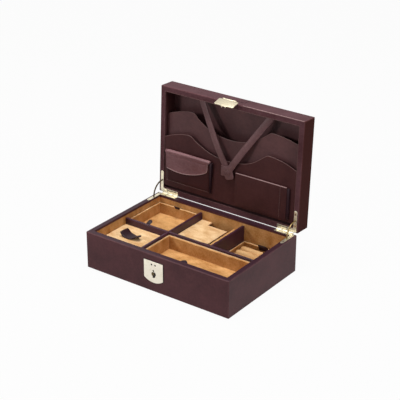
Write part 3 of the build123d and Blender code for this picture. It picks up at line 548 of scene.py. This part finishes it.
def stitches(points, pitch=2.6, length=1.8, thick=0.5):
    """A row of thread stitches along a line that lies flat, joined into one piece."""
    put_down()
    bpy.ops.mesh.primitive_uv_sphere_add(segments=8, ring_count=6, radius=0.5)
    stitch = bpy.context.object
    stitch.scale = (length * mm, thick * mm, thick * 0.7 * mm)
    bpy.ops.object.transform_apply(location=True, rotation=True, scale=True)
    row = []
    for place, way in spread(points, pitch):
        one = bpy.data.objects.new("stitch", stitch.data.copy())
        bpy.context.collection.objects.link(one)
        one.matrix_world = (Matrix.Translation(place * mm)
                            @ Matrix.Rotation(math.atan2(way.y, way.x), 4, "Z"))
        row.append(one)
    take(stitch)
    bpy.ops.object.delete()
    take(*row)
    bpy.ops.object.transform_apply(location=True, rotation=True, scale=True)
    bpy.ops.object.join()
    return bpy.context.object


def arc_through(first, second, third, count):
    """Points on the circle's arc from the first place to the third, by way of the second."""
    ax, ay = first
    bx, by = second
    cx, cy = third
    squares = [x * x + y * y for x, y in (first, second, third)]
    d = 2 * (ax * (by - cy) + bx * (cy - ay) + cx * (ay - by))
    ux = (squares[0] * (by - cy) + squares[1] * (cy - ay) + squares[2] * (ay - by)) / d
    uy = (squares[0] * (cx - bx) + squares[1] * (ax - cx) + squares[2] * (bx - ax)) / d
    radius = math.hypot(ax - ux, ay - uy)
    start, by_way, end = (math.atan2(y - uy, x - ux) for x, y in (first, second, third))
    turn = (end - start) % (2 * math.pi)
    if (by_way - start) % (2 * math.pi) > turn:
        turn -= 2 * math.pi
    return [(ux + radius * math.cos(start + turn * i / count),
             uy + radius * math.sin(start + turn * i / count)) for i in range(count + 1)]


PAD_PRESSURE, PAD_STEPS = 4, 20


def pad(low, high, mesh_size, most, corner):
    """A padded block that air pressure fills out as cloth. No point moves further than most."""
    piece = block([a + most for a in low], [b - most for b in high])
    round_edges(piece, corner, 4)
    work(piece, "REMESH", mode="VOXEL", voxel_size=mesh_size * mm)
    rest = [spot.co.copy() for spot in piece.data.vertices]
    take(piece)
    cloth = piece.modifiers.new("filling", "CLOTH")
    cloth.settings.use_pressure = True
    cloth.settings.uniform_pressure_force = PAD_PRESSURE
    cloth.settings.effector_weights.gravity = 0
    cloth.settings.quality = 4
    scene = bpy.context.scene
    for step in range(1, PAD_STEPS + 1):
        scene.frame_set(step)
    bpy.ops.object.modifier_apply(modifier=cloth.name)
    scene.frame_set(1)
    for spot, before in zip(piece.data.vertices, rest):
        moved = spot.co - before
        if moved.length > most * mm:
            spot.co = before + moved.normalized() * most * mm
    return work(piece, "SUBSURF", levels=1, render_levels=1)


# Ring tray: five padded rolls

def make_ring_rolls():
    """The rolls are equal, so one is filled out and copied."""
    left, right, foot, top = 50.9, 137.1, 9.4, 31.0
    half, rearmost, pitch, count = 6.85, 75.5, 14.9, 5
    low, high = (left, rearmost - half, foot), (right, rearmost + half, top)
    roll = pad(low, high, mesh_size=2.4, most=0.5, corner=6.6)
    for index in range(count):
        one = bpy.data.objects.new("roll", roll.data.copy())
        bpy.context.collection.objects.link(one)
        one.location = (0, -pitch * index * mm, 0)
        settle(one, "ring_roll_%d" % (index + 1), roll_suede, "ring_rolls")
    take(roll)
    bpy.ops.object.delete()


make_ring_rolls()


# Lid: the wavy edges of the two pocket panels, as x and v, and the panels

UPPER_EDGE = [(-139.3, -151.2), (-124.7, -156.8), (-108.6, -161.3), (-95.2, -163.9),
              (-84.6, -164.6), (-78.6, -161.3), (-70.9, -154.2), (-53.5, -143.4), (-34.7, -135.9),
              (-18, -133.2), (0.5, -132.4), (18, -133.8), (33.3, -137.5), (56.5, -148.6),
              (69.6, -157.3), (76.6, -162.6), (82.5, -165.2), (96.1, -164.7), (113.2, -162.3),
              (132.7, -157.7), (139.3, -156.2)]
LOWER_EDGE = [(-139.3, -109.4), (-125.5, -115.1), (-106.6, -120.8), (-92, -123.2), (-84.5, -123.1),
              (-78.5, -120.6), (-68.7, -113.9), (-49.8, -104.8), (-33.8, -99.6), (-18, -96.8),
              (0, -95.8), (25.8, -98.1), (43.4, -102.6), (58, -110.3), (70, -118.9), (77, -124.3),
              (83, -126.6), (96.7, -125.6), (116.4, -121.9), (139.3, -113.2)]


def smooth_line(points, steps=5):
    """More places on a smooth line that passes through these ones."""
    rows = [points[0]] + list(points) + [points[-1]]
    found = []
    for before, first, second, after in zip(rows, rows[1:], rows[2:], rows[3:]):
        for step in range(steps):
            t = step / steps
            found.append(tuple(
                0.5 * (2 * b + (c - a) * t + (2 * a - 5 * b + 4 * c - d) * t * t
                       + (3 * b - a - 3 * c + d) * t ** 3)
                for a, b, c, d in zip(before, first, second, after)))
    return found + [tuple(points[-1])]


def height_at(line, x):
    """How far along the lid a line is at x."""
    for (x0, v0), (x1, v1) in zip(line, line[1:]):
        if x0 <= x <= x1:
            return v0 + (v1 - v0) * (x - x0) / (x1 - x0)
    return line[-1][1] if x > 0 else line[0][1]


def make_pocket_panels():
    """The two leather panels that stand in the lid, each with a wavy top edge that is bound."""
    width, thick, most_slack = 278.6, 1.4, 0.3
    for node, edge, low, level, finish in (
            ("upper_pocket_panel", UPPER_EDGE, -13, 9.7, lit_panel_hide),
            ("lower_pocket_panel", LOWER_EDGE, -16.5, 1.4, soft_hide)):
        line = smooth_line(edge)
        put_down()
        bpy.ops.mesh.primitive_grid_add(x_subdivisions=120, y_subdivisions=14, size=1)
        panel = bpy.context.object
        for spot in panel.data.vertices:
            x, down = width * spot.co.x, 0.5 - spot.co.y
            top = height_at(line, x)
            slack = most_slack * math.sin(x / 23 + 1.2) * math.sin(math.pi * down)
            spot.co = (x * mm, (top + (low - top) * down) * mm, (level + slack) * mm)
        work(panel, "SOLIDIFY", thickness=thick * mm, offset=0)
        face_out(panel)
        settle(panel, node + "_leather", finish, node, LID_PLACE)
        bound = [(x, v, level - 0.1) for x, v in line]
        lay_line(bound, 0.72, node + "_edge", lit_line_hide, node, LID_PLACE)


make_pocket_panels()


# Lid: the purse, its flap, and the flat pocket

def make_purse():
    """The padded pouch, thicker towards its fold, with the gusset that narrows away from it. The
    gusset is near-black as painted shade beside the pouch.
    """
    swell = 1.6
    body = pad((-133.5, -86, -3.9), (-34.5, -28, 0.6), mesh_size=2.6, most=0.4, corner=1.5)
    for spot in body.data.vertices:
        if spot.co.z < -2 * mm:
            spot.co.z -= swell * mm * max(0, (-40 - spot.co.y / mm) / 46)
    settle(body, "purse_pouch", purse_hide, "purse_body", LID_PLACE)
    lay_line([(-128, -84, -3.8), (-128.3, -58, -4.05), (-128, -30, -3.8)], 0.3,
             "purse_gusset_line", lit_line_hide, "purse_body", LID_PLACE)
    # Painted shade: the gusset is a near-black strip for the shadow at the pouch's right side.
    low, high, narrowed = (-35, -85, -5.2), (-31, -27.5, 0.5), 2.6
    shade_gusset = block(low, high, cuts=3)
    for spot in shade_gusset.data.vertices:
        down = (spot.co.y / mm - low[1]) / (high[1] - low[1])
        if spot.co.x > (low[0] + 1) * mm:
            spot.co.x -= narrowed * down * mm
        if spot.co.z < 0:
            spot.co.z += swell * down * mm
    settle(round_edges(shade_gusset, 0.4), "purse_gusset", tab_hide, "purse_body", LID_PLACE,
           replaces=False)
    lay_line([(-131.5, -29.5, -3.7), (-84, -29.2, -4.0), (-36.5, -29.5, -3.7)], 0.25,
             "purse_hem", lit_line_hide, "purse_body", LID_PLACE)


FLAP_EDGE = arc_through((-131, -54), (-72, -53.3), (-46.5, -62.6), 36)
FLAP_EDGE += [(-42.6, -65), (-40.3, -68.2), (-39.3, -72.5)]


def make_flap():
    """The purse's flap: it turns over its fold, and lies on the pouch with a crease and a belly.
    The roll over the fold stays with the pouch."""
    fold, radius, start = -86.2, 1.5, -3.3
    turned_over = 0.28          # the share of the flap that goes round the fold
    left_side, right_side = -133.5, -34.5
    put_down()
    bpy.ops.mesh.primitive_grid_add(x_subdivisions=60, y_subdivisions=36, size=1)
    flap = bpy.context.object
    for spot in flap.data.vertices:
        across, down = spot.co.x + 0.5, 0.5 - spot.co.y
        narrowed = min(max((down - turned_over) / 0.14, 0), 1)
        left, right = left_side + 2.5 * narrowed, right_side - 4.8 * narrowed
        x = left + (right - left) * across
        reach = height_at(FLAP_EDGE, x) - fold
        if down < turned_over:
            turn = math.pi * down / turned_over
            v = fold - radius * math.sin(turn)
            w = start + radius * math.cos(turn)
        else:
            share = (down - turned_over) / (1 - turned_over)
            v = fold + reach * share
            crease = math.exp(-((v - fold - 6.5) / 1.3) ** 2)
            belly = math.sin(math.pi * across) * math.sin(math.pi * min(share, 0.9))
            w = start - radius - 0.45 * belly + 0.4 * crease - 1.3 * max(0, 1 - share * 1.3)
        spot.co = (x * mm, v * mm, w * mm)
    work(flap, "SOLIDIFY", thickness=0.9 * mm, offset=0)
    face_out(flap)
    round_edges(flap, 0.3, 2, 50)
    bend = ("lid", in_lid(0, -86.3, -4.8), in_lid(0, -79, -4.8))
    settle(flap, "purse_flap_leather", flap_hide, "purse_flap", LID_PLACE, bend=bend)
    # The roll is painted lighter as painted highlight.
    lay_line([(-132.4, -83.8, -2.8), (-130.4, -85.6, -2.9), (-126, -86.5, -3.0),
              (-84, -86.8, -3.4), (-35.1, -86.4, -3.4)], 2.8,
             "purse_flap_fold_roll", fold_highlight_hide, "purse_body", LID_PLACE)
    hem = [(x, v - 0.5, -5.35) for x, v in FLAP_EDGE[1:-1]]
    hem += [(-39.6, -73, -5.6), (-39.6, -81, -6)]
    lay_line(hem, 0.55, "purse_flap_hem", piping_highlight_hide, "purse_flap", LID_PLACE, bend=bend)


def make_flat_pocket():
    """The flat pocket, whose face bellies a little, with its gusset, piping and seam. The gusset
    is near-black as painted shade beside the pocket, and the piping pale as painted highlight.
    """
    low, high, most_belly = (19.2, -80.8, -3.4), (125.2, -21.8, 0.6), 0.7
    pocket = block(low, high, cuts=15)
    for spot in pocket.data.vertices:
        if spot.co.z < (low[2] + 0.1) * mm:
            across = (spot.co.x / mm - low[0]) / (high[0] - low[0])
            down = (spot.co.y / mm - low[1]) / (high[1] - low[1])
            belly = math.sin(math.pi * across) * math.sin(math.pi * (0.15 + 0.85 * down))
            spot.co.z -= most_belly * mm * belly
    round_edges(pocket, 0.5, 2)
    settle(pocket, "flat_pocket_leather", soft_hide, "flat_pocket", LID_PLACE)
    # Painted shade: the gusset is a near-black strip for the shadow at the pocket's right side.
    shade_gusset = block((124.8, -79.5, -2.6), (130, -22.5, 0.5), cuts=2)
    settle(round_edges(shade_gusset, 0.6), "flat_pocket_shade_gusset", tab_hide, "flat_pocket", LID_PLACE,
           replaces=False)
    lay_line([(19.6, -80.8, -2.9), (72, -81, -3.1), (124.8, -80.8, -2.9)], 0.75,
             "flat_pocket_piping", piping_highlight_hide, "flat_pocket", LID_PLACE)
    lay_line([(112, -79.8, -3.6), (112.2, -50, -4.0), (112, -22.8, -3.6)], 0.4,
             "flat_pocket_seam", lit_line_hide, "flat_pocket", LID_PLACE)


make_purse()
make_flap()
make_flat_pocket()


# Lid: the two straps that meet in a V, with the press stud

STRAP_TOP, STRAP_TURN = 194.2, math.atan2(75, 116.5)
STRAP_HALF, STRAP_THICK = 6, 1.8
STRAP_START, STRAP_BEND = 16.2, 114     # how high a strap is sewn on, and where it gets level


def strap_place(hand):
    """A strap's own frame: Y runs down the strap from its sewn end, Z is up from the lid's rim."""
    return (LID_PLACE @ Matrix.Translation(Vector((2.5 + hand * 75, -STRAP_TOP, 0)) * mm)
            @ Matrix.Rotation(hand * STRAP_TURN, 4, "Z"))


def lid_strap(level, low_end):
    """A strap that comes down from its sewn end, and then lies level as far as its low end."""
    bend, end = ((STRAP_TOP - v) / math.cos(STRAP_TURN) for v in (STRAP_BEND, low_end))
    rows = []
    for along in (0, 12, 28, 44, 60, 74, 84, 91, 97, 103, 110, 120, 130):
        fall = min(along / bend, 1.0)
        sag = 0.5 * math.sin(math.pi * fall)
        soft = 0.6 * math.exp(-((along - bend) / 8) ** 2)
        rows.append((along, STRAP_START + (level - STRAP_START) * fall - sag + soft, 1.0))
    return strip(rows + [(end, level, 1.0)], STRAP_HALF, STRAP_THICK, 1)


def make_straps():
    """Both straps, the sewn patch on the left one's end, and the right one's tongue and stud."""
    settle(lid_strap(-1.0, 76), "strap_left_leather", strap_hide, "left_strap", strap_place(-1))
    settle(lid_strap(-2.9, 80), "strap_right_leather", strap_hide, "right_strap", strap_place(1))

    patch = block((-12.6, -87.4, -2.15), (2.6, -68.4, -0.4))
    round_edges(patch, 0.6, 3)
    settle(patch, "strap_end_patch", strap_hide, "left_strap", LID_PLACE, replaces=False)
    square = [(x, v, -2.12) for x, v in ((1.4, -86.1), (-11.3, -86.1), (-11.3, -69.7),
                                         (1.4, -69.7))]
    settle(stitches(square), "strap_end_stitches", thread, "left_strap", LID_PLACE, replaces=False)

    tongue_middle, tongue_turn = Vector((4.6, -75.6, 0)) * mm, math.radians(-17)
    turned = Matrix.Translation(tongue_middle) @ Matrix.Rotation(tongue_turn, 4, "Z")
    steps = [(-88.5, -3.0, 0.94)]
    steps += [(along, -3.1, wide) for along, wide in (
        (-84, 1.0), (-76, 1.0), (-70, 1.0), (-67.6, 0.96), (-65.9, 0.87), (-64.9, 0.74),
        (-64.3, 0.55))]
    place = LID_PLACE @ turned @ Matrix.Translation(Vector((0, 75, 0)) * mm)
    settle(strip(steps, 9.3, 1.7, 3), "strap_tongue", strap_hide, "right_strap", place,
           replaces=False)
    oval = [turned @ (Vector((7.2 * math.cos(turn), 7.8 * math.sin(turn), -3.95)) * mm) / mm
            for turn in [2 * math.pi * i / 48 for i in range(49)]]
    lay_line(oval, 0.35, "strap_tongue_line", lit_line_hide, "right_strap", LID_PLACE)
    settle(stitches(oval, 2.3, 1.5, 0.5), "strap_tongue_stitches", thread, "right_strap",
           LID_PLACE, replaces=False)
    put_down()
    bpy.ops.mesh.primitive_cylinder_add(vertices=40, radius=4.4 * mm, depth=1.5 * mm,
                                        location=(2.9 * mm, -77.0 * mm, -3.95 * mm))
    cap = bpy.context.object
    open_up(cap)
    pick(cap, "FACE", lambda face: face.normal.z < -0.9)
    bpy.ops.mesh.inset(thickness=1.6 * mm)
    bpy.ops.transform.translate(value=(0, 0, -0.35 * mm))
    bpy.ops.object.mode_set(mode="OBJECT")
    round_edges(cap, 0.6, 3, 15)
    settle(cap, "stud_cap_leather", strap_hide, "stud_cap", LID_PLACE)


make_straps()


# Tabs and the pull strap

def lean_steps(root, bend, length, lean, half, curl=0.0):
    """Steps of a tab: upright from root to bend, then leaning, with a round end. In a tab's own
    frame Y runs up and Z leans away from its wall."""
    rows = [(root, 0.0, 0.9), (bend - 1, 0.0, 0.92), (bend, 0.2, 0.97)]
    turned = math.radians(lean)
    spots = [(0.25, 1.0), (0.45, 1.0)]
    spots += [(along / length, share) for along, share in tongue(length * 0.45, length, half)]
    for share, wide in spots:
        bent = turned + curl * share
        rows.append((bend + length * share * math.cos(bent), 0.2 + length * share * math.sin(bent),
                     wide))
    return rows


def tab_place(x, y, way):
    """The frame of a tab on a tray's wall: Y is up, and Z points away from the wall."""
    return Matrix.Translation(Vector((x, y, 0)) * mm) @ Matrix(
        ((-way, 0, 0, 0), (0, 0, way, 0), (0, 1, 0, 0), (0, 0, 0, 1)))


def make_tabs():
    """The leather tabs that the trays are lifted by."""
    tipped = (Matrix.Translation((0, 52 * mm, 0)) @ Matrix.Rotation(math.radians(12), 4, "Z")
              @ Matrix.Translation((0, -52 * mm, 0)))
    for name, node, root, bend, length, lean, half, curl, thick, place in (
            ("rear_left_tray_back_tab", "rear_left_tray_tabs", 53.6, 55.6, 7.4, 16, 5.2, 0.7, 1.5,
             tab_place(-97, 88.4, -1)),
            ("rear_left_tray_front_tab", "rear_left_tray_tabs", 51.5, 54.4, 13.5, 34, 3.8, 0.45,
             1.4, tab_place(-98.5, 1.1, 1) @ tipped),
            ("front_right_tray_leather_tab", "front_right_tray_tab", 49.5, 55.0, 15.0, 40, 7.2,
             0.35, 1.4, tab_place(44, -87.9, 1)),
            ("ring_tray_leather_tab", "ring_tray_tab", 26.5, 31.2, 9.2, 12, 9.9, 0.4, 1.2,
             tab_place(91, 87.9, -1))):
        tab = strip(lean_steps(root, bend, length, lean, half, curl), half, thick, 2, 0.35)
        settle(tab, name, tab_hide, node, place)


def make_pull():
    """The front left panel's pull strap, which rises to a point and dishes as it does."""
    steps = [(-18.6, 9.2, 0.96), (-16.5, 7.4, 1.04), (-13.5, 4.8, 1.06), (-10, 2.6, 1.05),
             (-6, 1.2, 1.02), (-1, 0.8, 0.98), (4, 0.9, 0.9), (8, 1.8, 0.8), (12, 3.8, 0.7),
             (16.4, 6.2, 0.56), (20.8, 8.2, 0.38)]
    pull = strip(steps, 9.8, 1.5, 5, 0.4)
    place = (Matrix.Translation(Vector((-97, -43.5, 50.1)) * mm)
             @ Matrix.Rotation(math.radians(-96), 4, "Z"))
    for spot in pull.data.vertices:
        along, across = spot.co.y / mm, spot.co.x / mm
        if along > 3:
            spot.co.z += (across / 9.8) ** 2 * (along - 3) * 0.34 * mm
        if along < -8:
            spot.co.z -= (across / 9.25) ** 2 * 0.5 * mm
    settle(pull, "front_left_pull_leather", tab_hide, "front_left_pull", place)


make_tabs()
make_pull()


# Metal: softened edges, and the hasp made finer than its solids

LOCK_X = -2.5                       # the middle of the lock and of the hasp
HASP_AXIS = (114.1, 278.1)          # y and z
KNUCKLE_REACH = 2.05                # from the axis to the outside of a knuckle
HASP_BARREL_HALF = 8.2              # from here outwards the knuckles and the pin are shortened
STAPLE_ROOT = Vector((0, 95.4, 273.0)) * mm
PRONG_WAY = Vector((0, 0.229, -0.973))


def make_metal():
    """The plates, leaves, stays and staple, and the hasp's slimmer knuckles and bracket."""
    parts = [("lock_plate", 0.22, pale_gold), ("hasp_plate", 0.3, hasp_shaded_gold)]
    parts += [("hinge_%s_leaf" % place, 0.25, hinge_shaded_gold)
              for place in ("left_base", "right_base", "left_lid", "right_lid")]
    # The left stay takes the darker copy of the brass, as painted shade.
    parts += [("stay_left", 0.25, stay_shade_brass), ("stay_right", 0.25, stay_brass)]
    for node, width, finish in parts:
        softened(node, node + "_metal", width, finish)
    axis_y, axis_z = HASP_AXIS
    plate = bpy.data.objects["hasp_plate_metal"]
    for spot in plate.data.vertices:
        spot.co.y = (axis_y + (spot.co.y / mm - axis_y) * 0.93) * mm
    staple = softened("hasp_staple", "hasp_staple_metal", 0.35, pale_gold)
    for spot in staple.data.vertices:
        along = (spot.co - STAPLE_ROOT).dot(PRONG_WAY)
        spot.co -= PRONG_WAY * max(along, 0) * 0.5
    bracket = softened("hasp_bracket", "hasp_bracket_metal", 0.2, hasp_shaded_gold)
    pin = softened("hasp_pin", "hasp_pin_metal", 0.1, gold_turned)
    leaf_back = axis_y + 2.0
    for piece in (bracket, pin):
        for spot in piece.data.vertices:
            x, y = spot.co.x / mm - LOCK_X, spot.co.y / mm
            if abs(x) > 10:
                reach = HASP_BARREL_HALF + (abs(x) - HASP_BARREL_HALF) * 0.6
                spot.co.x = (LOCK_X + math.copysign(reach, x)) * mm
            if y > leaf_back:
                spot.co.y = (leaf_back - 0.5 + (y - leaf_back) * 0.15) * mm
    for piece in (bracket, pin, plate):
        for spot in piece.data.vertices:
            off = Vector((0, spot.co.y - axis_y * mm, spot.co.z - axis_z * mm))
            if off.length < KNUCKLE_REACH * mm:
                spot.co -= off * 0.38


def make_lock_details():
    """The barrel in the keyhole, in darker brass, with a dark disc behind it, and the dark line
    where the plate is let into the leather; the brass, the disc and the line are dark as painted
    shade.
    """
    put_down()
    bpy.ops.mesh.primitive_cylinder_add(vertices=36, radius=2.5 * mm, depth=4.6 * mm,
                                        location=(-3.9 * mm, -100.7 * mm, 34.4 * mm),
                                        rotation=(math.pi / 2, 0, 0))
    barrel = bpy.context.object
    bpy.ops.object.transform_apply(location=True, rotation=True, scale=True)
    open_up(barrel)
    pick(barrel, "FACE", lambda face: face.normal.y < -0.9)
    bpy.ops.mesh.inset(thickness=0.5 * mm)
    bpy.ops.mesh.inset(thickness=0.9 * mm, depth=-0.4 * mm)
    bpy.ops.mesh.inset(thickness=0.6 * mm, depth=0.5 * mm)
    bpy.ops.object.mode_set(mode="OBJECT")
    round_edges(barrel, 0.18, 2)
    # The barrel takes the darker stay brass, as painted shade inside the keyhole.
    settle(barrel, "key_barrel_metal", stay_brass, "key_barrel")
    # Painted shade: a flat dark disc with a tail stands for the shade inside the keyhole.
    bpy.ops.mesh.primitive_circle_add(vertices=32, radius=4.1 * mm, fill_type="NGON",
                                      location=(-1.5 * mm, -102.75 * mm, 34.2 * mm),
                                      rotation=(math.pi / 2, 0, 0))
    keyhole_shade_disc = bpy.context.object
    bpy.ops.object.transform_apply(location=True, rotation=True, scale=True)
    for spot in keyhole_shade_disc.data.vertices:
        if spot.co.z < 32 * mm and abs(spot.co.x + 0.6 * mm) < 1.5 * mm:
            spot.co.z -= 2.2 * mm
    work(keyhole_shade_disc, "SOLIDIFY", thickness=0.3 * mm, offset=0)
    settle(face_out(keyhole_shade_disc), "lock_keyhole_shade", lock_steel, "lock_plate", replaces=False)
    # Painted shade: a dark line round the plate for the shade in the recess where it is let into
    # the leather.
    right, left, top, corner = 17.9, -22.9, 57.9, 25.2
    outline = [(right, top), (right, corner + 0.2)]
    outline += arc_through((right, corner), (LOCK_X, 17.5), (left, corner), 30)
    outline += [(left, top), (right, top)]
    seat_shade = [(x, -101.55, z) for x, z in outline]
    lay_line(seat_shade, 0.55, "lock_plate_seat_shade", tab_hide, "base_leather")


def make_hinge_gaps():
    """The dark joints between the leaves of each hinge, and round its knuckles."""
    for side, hand in (("left", -1), ("right", 1)):
        lid_lines = [[(hand * 128.5 - 1.2, -6.7, RIM_GAP), (hand * 109 - 1.2, -7.0, RIM_GAP)],
                     [(hand * 129.5 - 1.2, -9.2, RIM_GAP), (hand * 129.5 - 1.2, -2.7, RIM_GAP)]]
        base_line = [(hand * 129.8, 100.2, BASE_HEIGHT), (hand * 129.8, 94.5, BASE_HEIGHT)]
        for index, line in enumerate(lid_lines):
            lay_line(line, 0.5, "hinge_%s_lid_gap_%d" % (side, index + 1), lock_steel,
                     "hinge_%s_lid_leaf" % side, LID_PLACE, flat=0.3)
        lay_line(base_line, 0.45, "hinge_%s_base_gap" % side, lock_steel,
                 "hinge_%s_base_leaf" % side, flat=0.3)


def make_tray_rims():
    """Rounded suede rims, painted paler than the trays' suede as painted highlight."""
    for node, x, y, z in (("rear_left_tray", (-138.6, -48.9), (-1.1, 90.1), 54.7),
                          ("front_right_tray", (-41.6, 138.6), (-90.1, -8.0), 56.7),
                          ("ring_tray", (49.6, 138.6), (-1.1, 90.1), 31.6)):
        middle = ((x[0] + x[1]) / 2, y[0], z)
        rim = [middle, (x[1], y[0], z), (x[1], y[1], z), (x[0], y[1], z), (x[0], y[0], z), middle]
        lay_line(rim, 0.9, node + "_rim", rim_highlight_suede, node)


def make_lid_edges():
    """Lines on the lid's leather: its turned edge, its lap, and the beads along both backs."""
    half, front, back, level = 140.2, -195.0, -11.4, 0.3
    loop = [(x, v, level) for x, v in ((0, front), (half, front), (half, back), (-half, back),
                                       (-half, front), (0, front))]
    lay_line(loop, 0.6, "lid_rim_turned_edge", lit_line_hide, "lid_leather", LID_PLACE, flat=0.6)
    # The lap edge is pale as painted highlight.
    lay_line([(26, -204.4, 0.4), (90, -204.5, 0.3), (148.6, -204.4, 0.4)], 0.6,
             "lid_front_lap_edge", piping_highlight_hide, "lid_leather", LID_PLACE)
    lay_line([(8, -204.5, 14), (19.4, -204.5, 13.4), (20.6, -204.5, 17), (20.8, -204.5, 25),
              (19, -204.4, 32)], 0.35, "lid_front_lap_seam", tab_hide, "lid_leather", LID_PLACE)
    between = 106.5             # half the way from hinge to hinge
    lay_line([(x, -1.5, 1.2) for x in (-between, 0, between)], 1.0,
             "lid_back_bead", lid_hide, "lid_leather", LID_PLACE)
    lay_line([(x, 102.2, 69.4) for x in (-between, 0, between)], 0.8,
             "base_back_bead", base_hide, "base_leather")


def make_middle_panel():
    """The middle panel with its finger notch, and the wall behind the notch."""
    notch_left, notch_front, carrier_front = -23, 80.5, 78.1
    wall_back, wall_top, wall_drop = 88.6, 45.3, 26
    panel = softened("middle_panel", "middle_panel_suede", 0.3, panel_suede)
    carrier = softened("rear_middle_frame", "rear_middle_frame_suede", 0.2, tan_suede)
    for piece in (panel, carrier):
        for spot in piece.data.vertices:
            x, y, z = (way / mm for way in spot.co)
            if piece is panel and abs(x - notch_left) < 0.5:
                spot.co.x += 2.2 * mm
            at_notch = abs(y - notch_front) < 0.6 or abs(y - carrier_front) < 0.4
            if at_notch and abs(x) < 41:
                spot.co.y -= 3.8 * mm
            if piece is carrier and y > wall_back and abs(z - wall_top) < 0.5:
                spot.co.z -= wall_drop * mm


def make_dividers():
    """The leather dividers, with their edges rounded off."""
    for node in ("long_divider", "left_cross_divider", "right_cross_divider"):
        softened(node, node + "_leather", 0.55, divider_hide, 3)


make_lock_details()
make_hinge_gaps()
make_tray_rims()
make_lid_edges()
make_middle_panel()
make_dividers()
make_metal()


# Studio: floor, lights and camera

def aimed(name, kind, place, aim, roll=0.0):
    """A light or a camera at its place, turned to its aim and rolled by these degrees."""
    made = bpy.data.objects.new(name, kind)
    bpy.context.collection.objects.link(made)
    made.location = place
    look = (Vector(aim) - Vector(place)).to_track_quat("-Z", "Y").to_matrix().to_4x4()
    made.rotation_euler = (look @ Matrix.Rotation(math.radians(roll), 4, "Z")).to_euler()
    return made


def studio():
    """A plain white floor, soft lights, a white world, and the camera."""
    bpy.ops.object.select_all(action="DESELECT")
    bpy.ops.mesh.primitive_plane_add(size=60, location=(0, 0, 0))
    floor = bpy.context.object
    floor.name = "studio_floor"
    paper = Finish("white_paper")
    seen = paper.node("LightPath", out="Is Camera Ray").larger(
        paper.node("LightPath", out="Is Glossy Ray")).larger(
        paper.node("LightPath", out="Is Transmission Ray"))
    matt = paper.node("BsdfDiffuse", {}, {"Color": (0.5, 0.5, 0.5, 1)})
    glow = paper.node("Emission", {}, {"Color": (1, 1, 1, 1), "Strength": 1.0})
    mixed = paper.node("MixShader", {}, {0: seen * 0.96, 1: matt, 2: glow})
    paper.tree.links.new(mixed.socket, paper.tree.nodes["Material Output"].inputs["Surface"])
    floor.data.materials.append(paper.material)

    world = bpy.data.worlds.new("white_world")
    bpy.context.scene.world = world
    world.use_nodes = True
    nodes, links = world.node_tree.nodes, world.node_tree.links
    sky = nodes["Background"]
    sky.inputs["Color"].default_value = (1, 1, 1, 1)
    path = nodes.new("ShaderNodeLightPath")
    seen_sky = path.outputs["Is Camera Ray"]
    for ray in ("Is Transmission Ray", "Is Glossy Ray"):
        larger = nodes.new("ShaderNodeMath")
        larger.operation = "MAXIMUM"
        links.new(seen_sky, larger.inputs[0])
        links.new(path.outputs[ray], larger.inputs[1])
        seen_sky = larger.outputs[0]
    strength = nodes.new("ShaderNodeMapRange")
    strength.inputs["To Min"].default_value = SKY_LIGHT
    strength.inputs["To Max"].default_value = SKY_SEEN
    links.new(seen_sky, strength.inputs["Value"])
    links.new(strength.outputs[0], sky.inputs["Strength"])

    for name, place, aim, size, power in LIGHTS:
        lamp = bpy.data.lights.new(name, "AREA")
        lamp.size = size
        lamp.energy = power
        aimed(name, lamp, place, aim)

    camera = bpy.data.cameras.new("studio_camera")
    camera.lens = CAMERA_LENS
    camera.sensor_width = 36.0
    bpy.context.scene.camera = aimed("studio_camera", camera, CAMERA_AT, CAMERA_AIM, CAMERA_ROLL)
    bpy.context.scene.view_settings.view_transform = "Standard"


CAMERA_AT = (1.1170, -1.5020, 1.0156)
CAMERA_AIM = (0.0928, -0.1015, 0.1973)
CAMERA_ROLL = 0.097
CAMERA_LENS = 109.98
SKY_LIGHT, SKY_SEEN = 0.09, 1.0     # the world's strength as a light, and where it is seen
# Name, place, aim, size and power of each light
LIGHTS = [("top_light", (-0.05, -0.1, 1.7), (0, 0, 0.1), 0.8, 24.0),
          ("right_light", (1.7, -0.3, 0.8), (0, 0, 0.1), 1.0, 9.0),
          ("left_light", (-0.95, -1.5, 0.9), (0, 0, 0.12), 0.35, 13.0)]
studio()
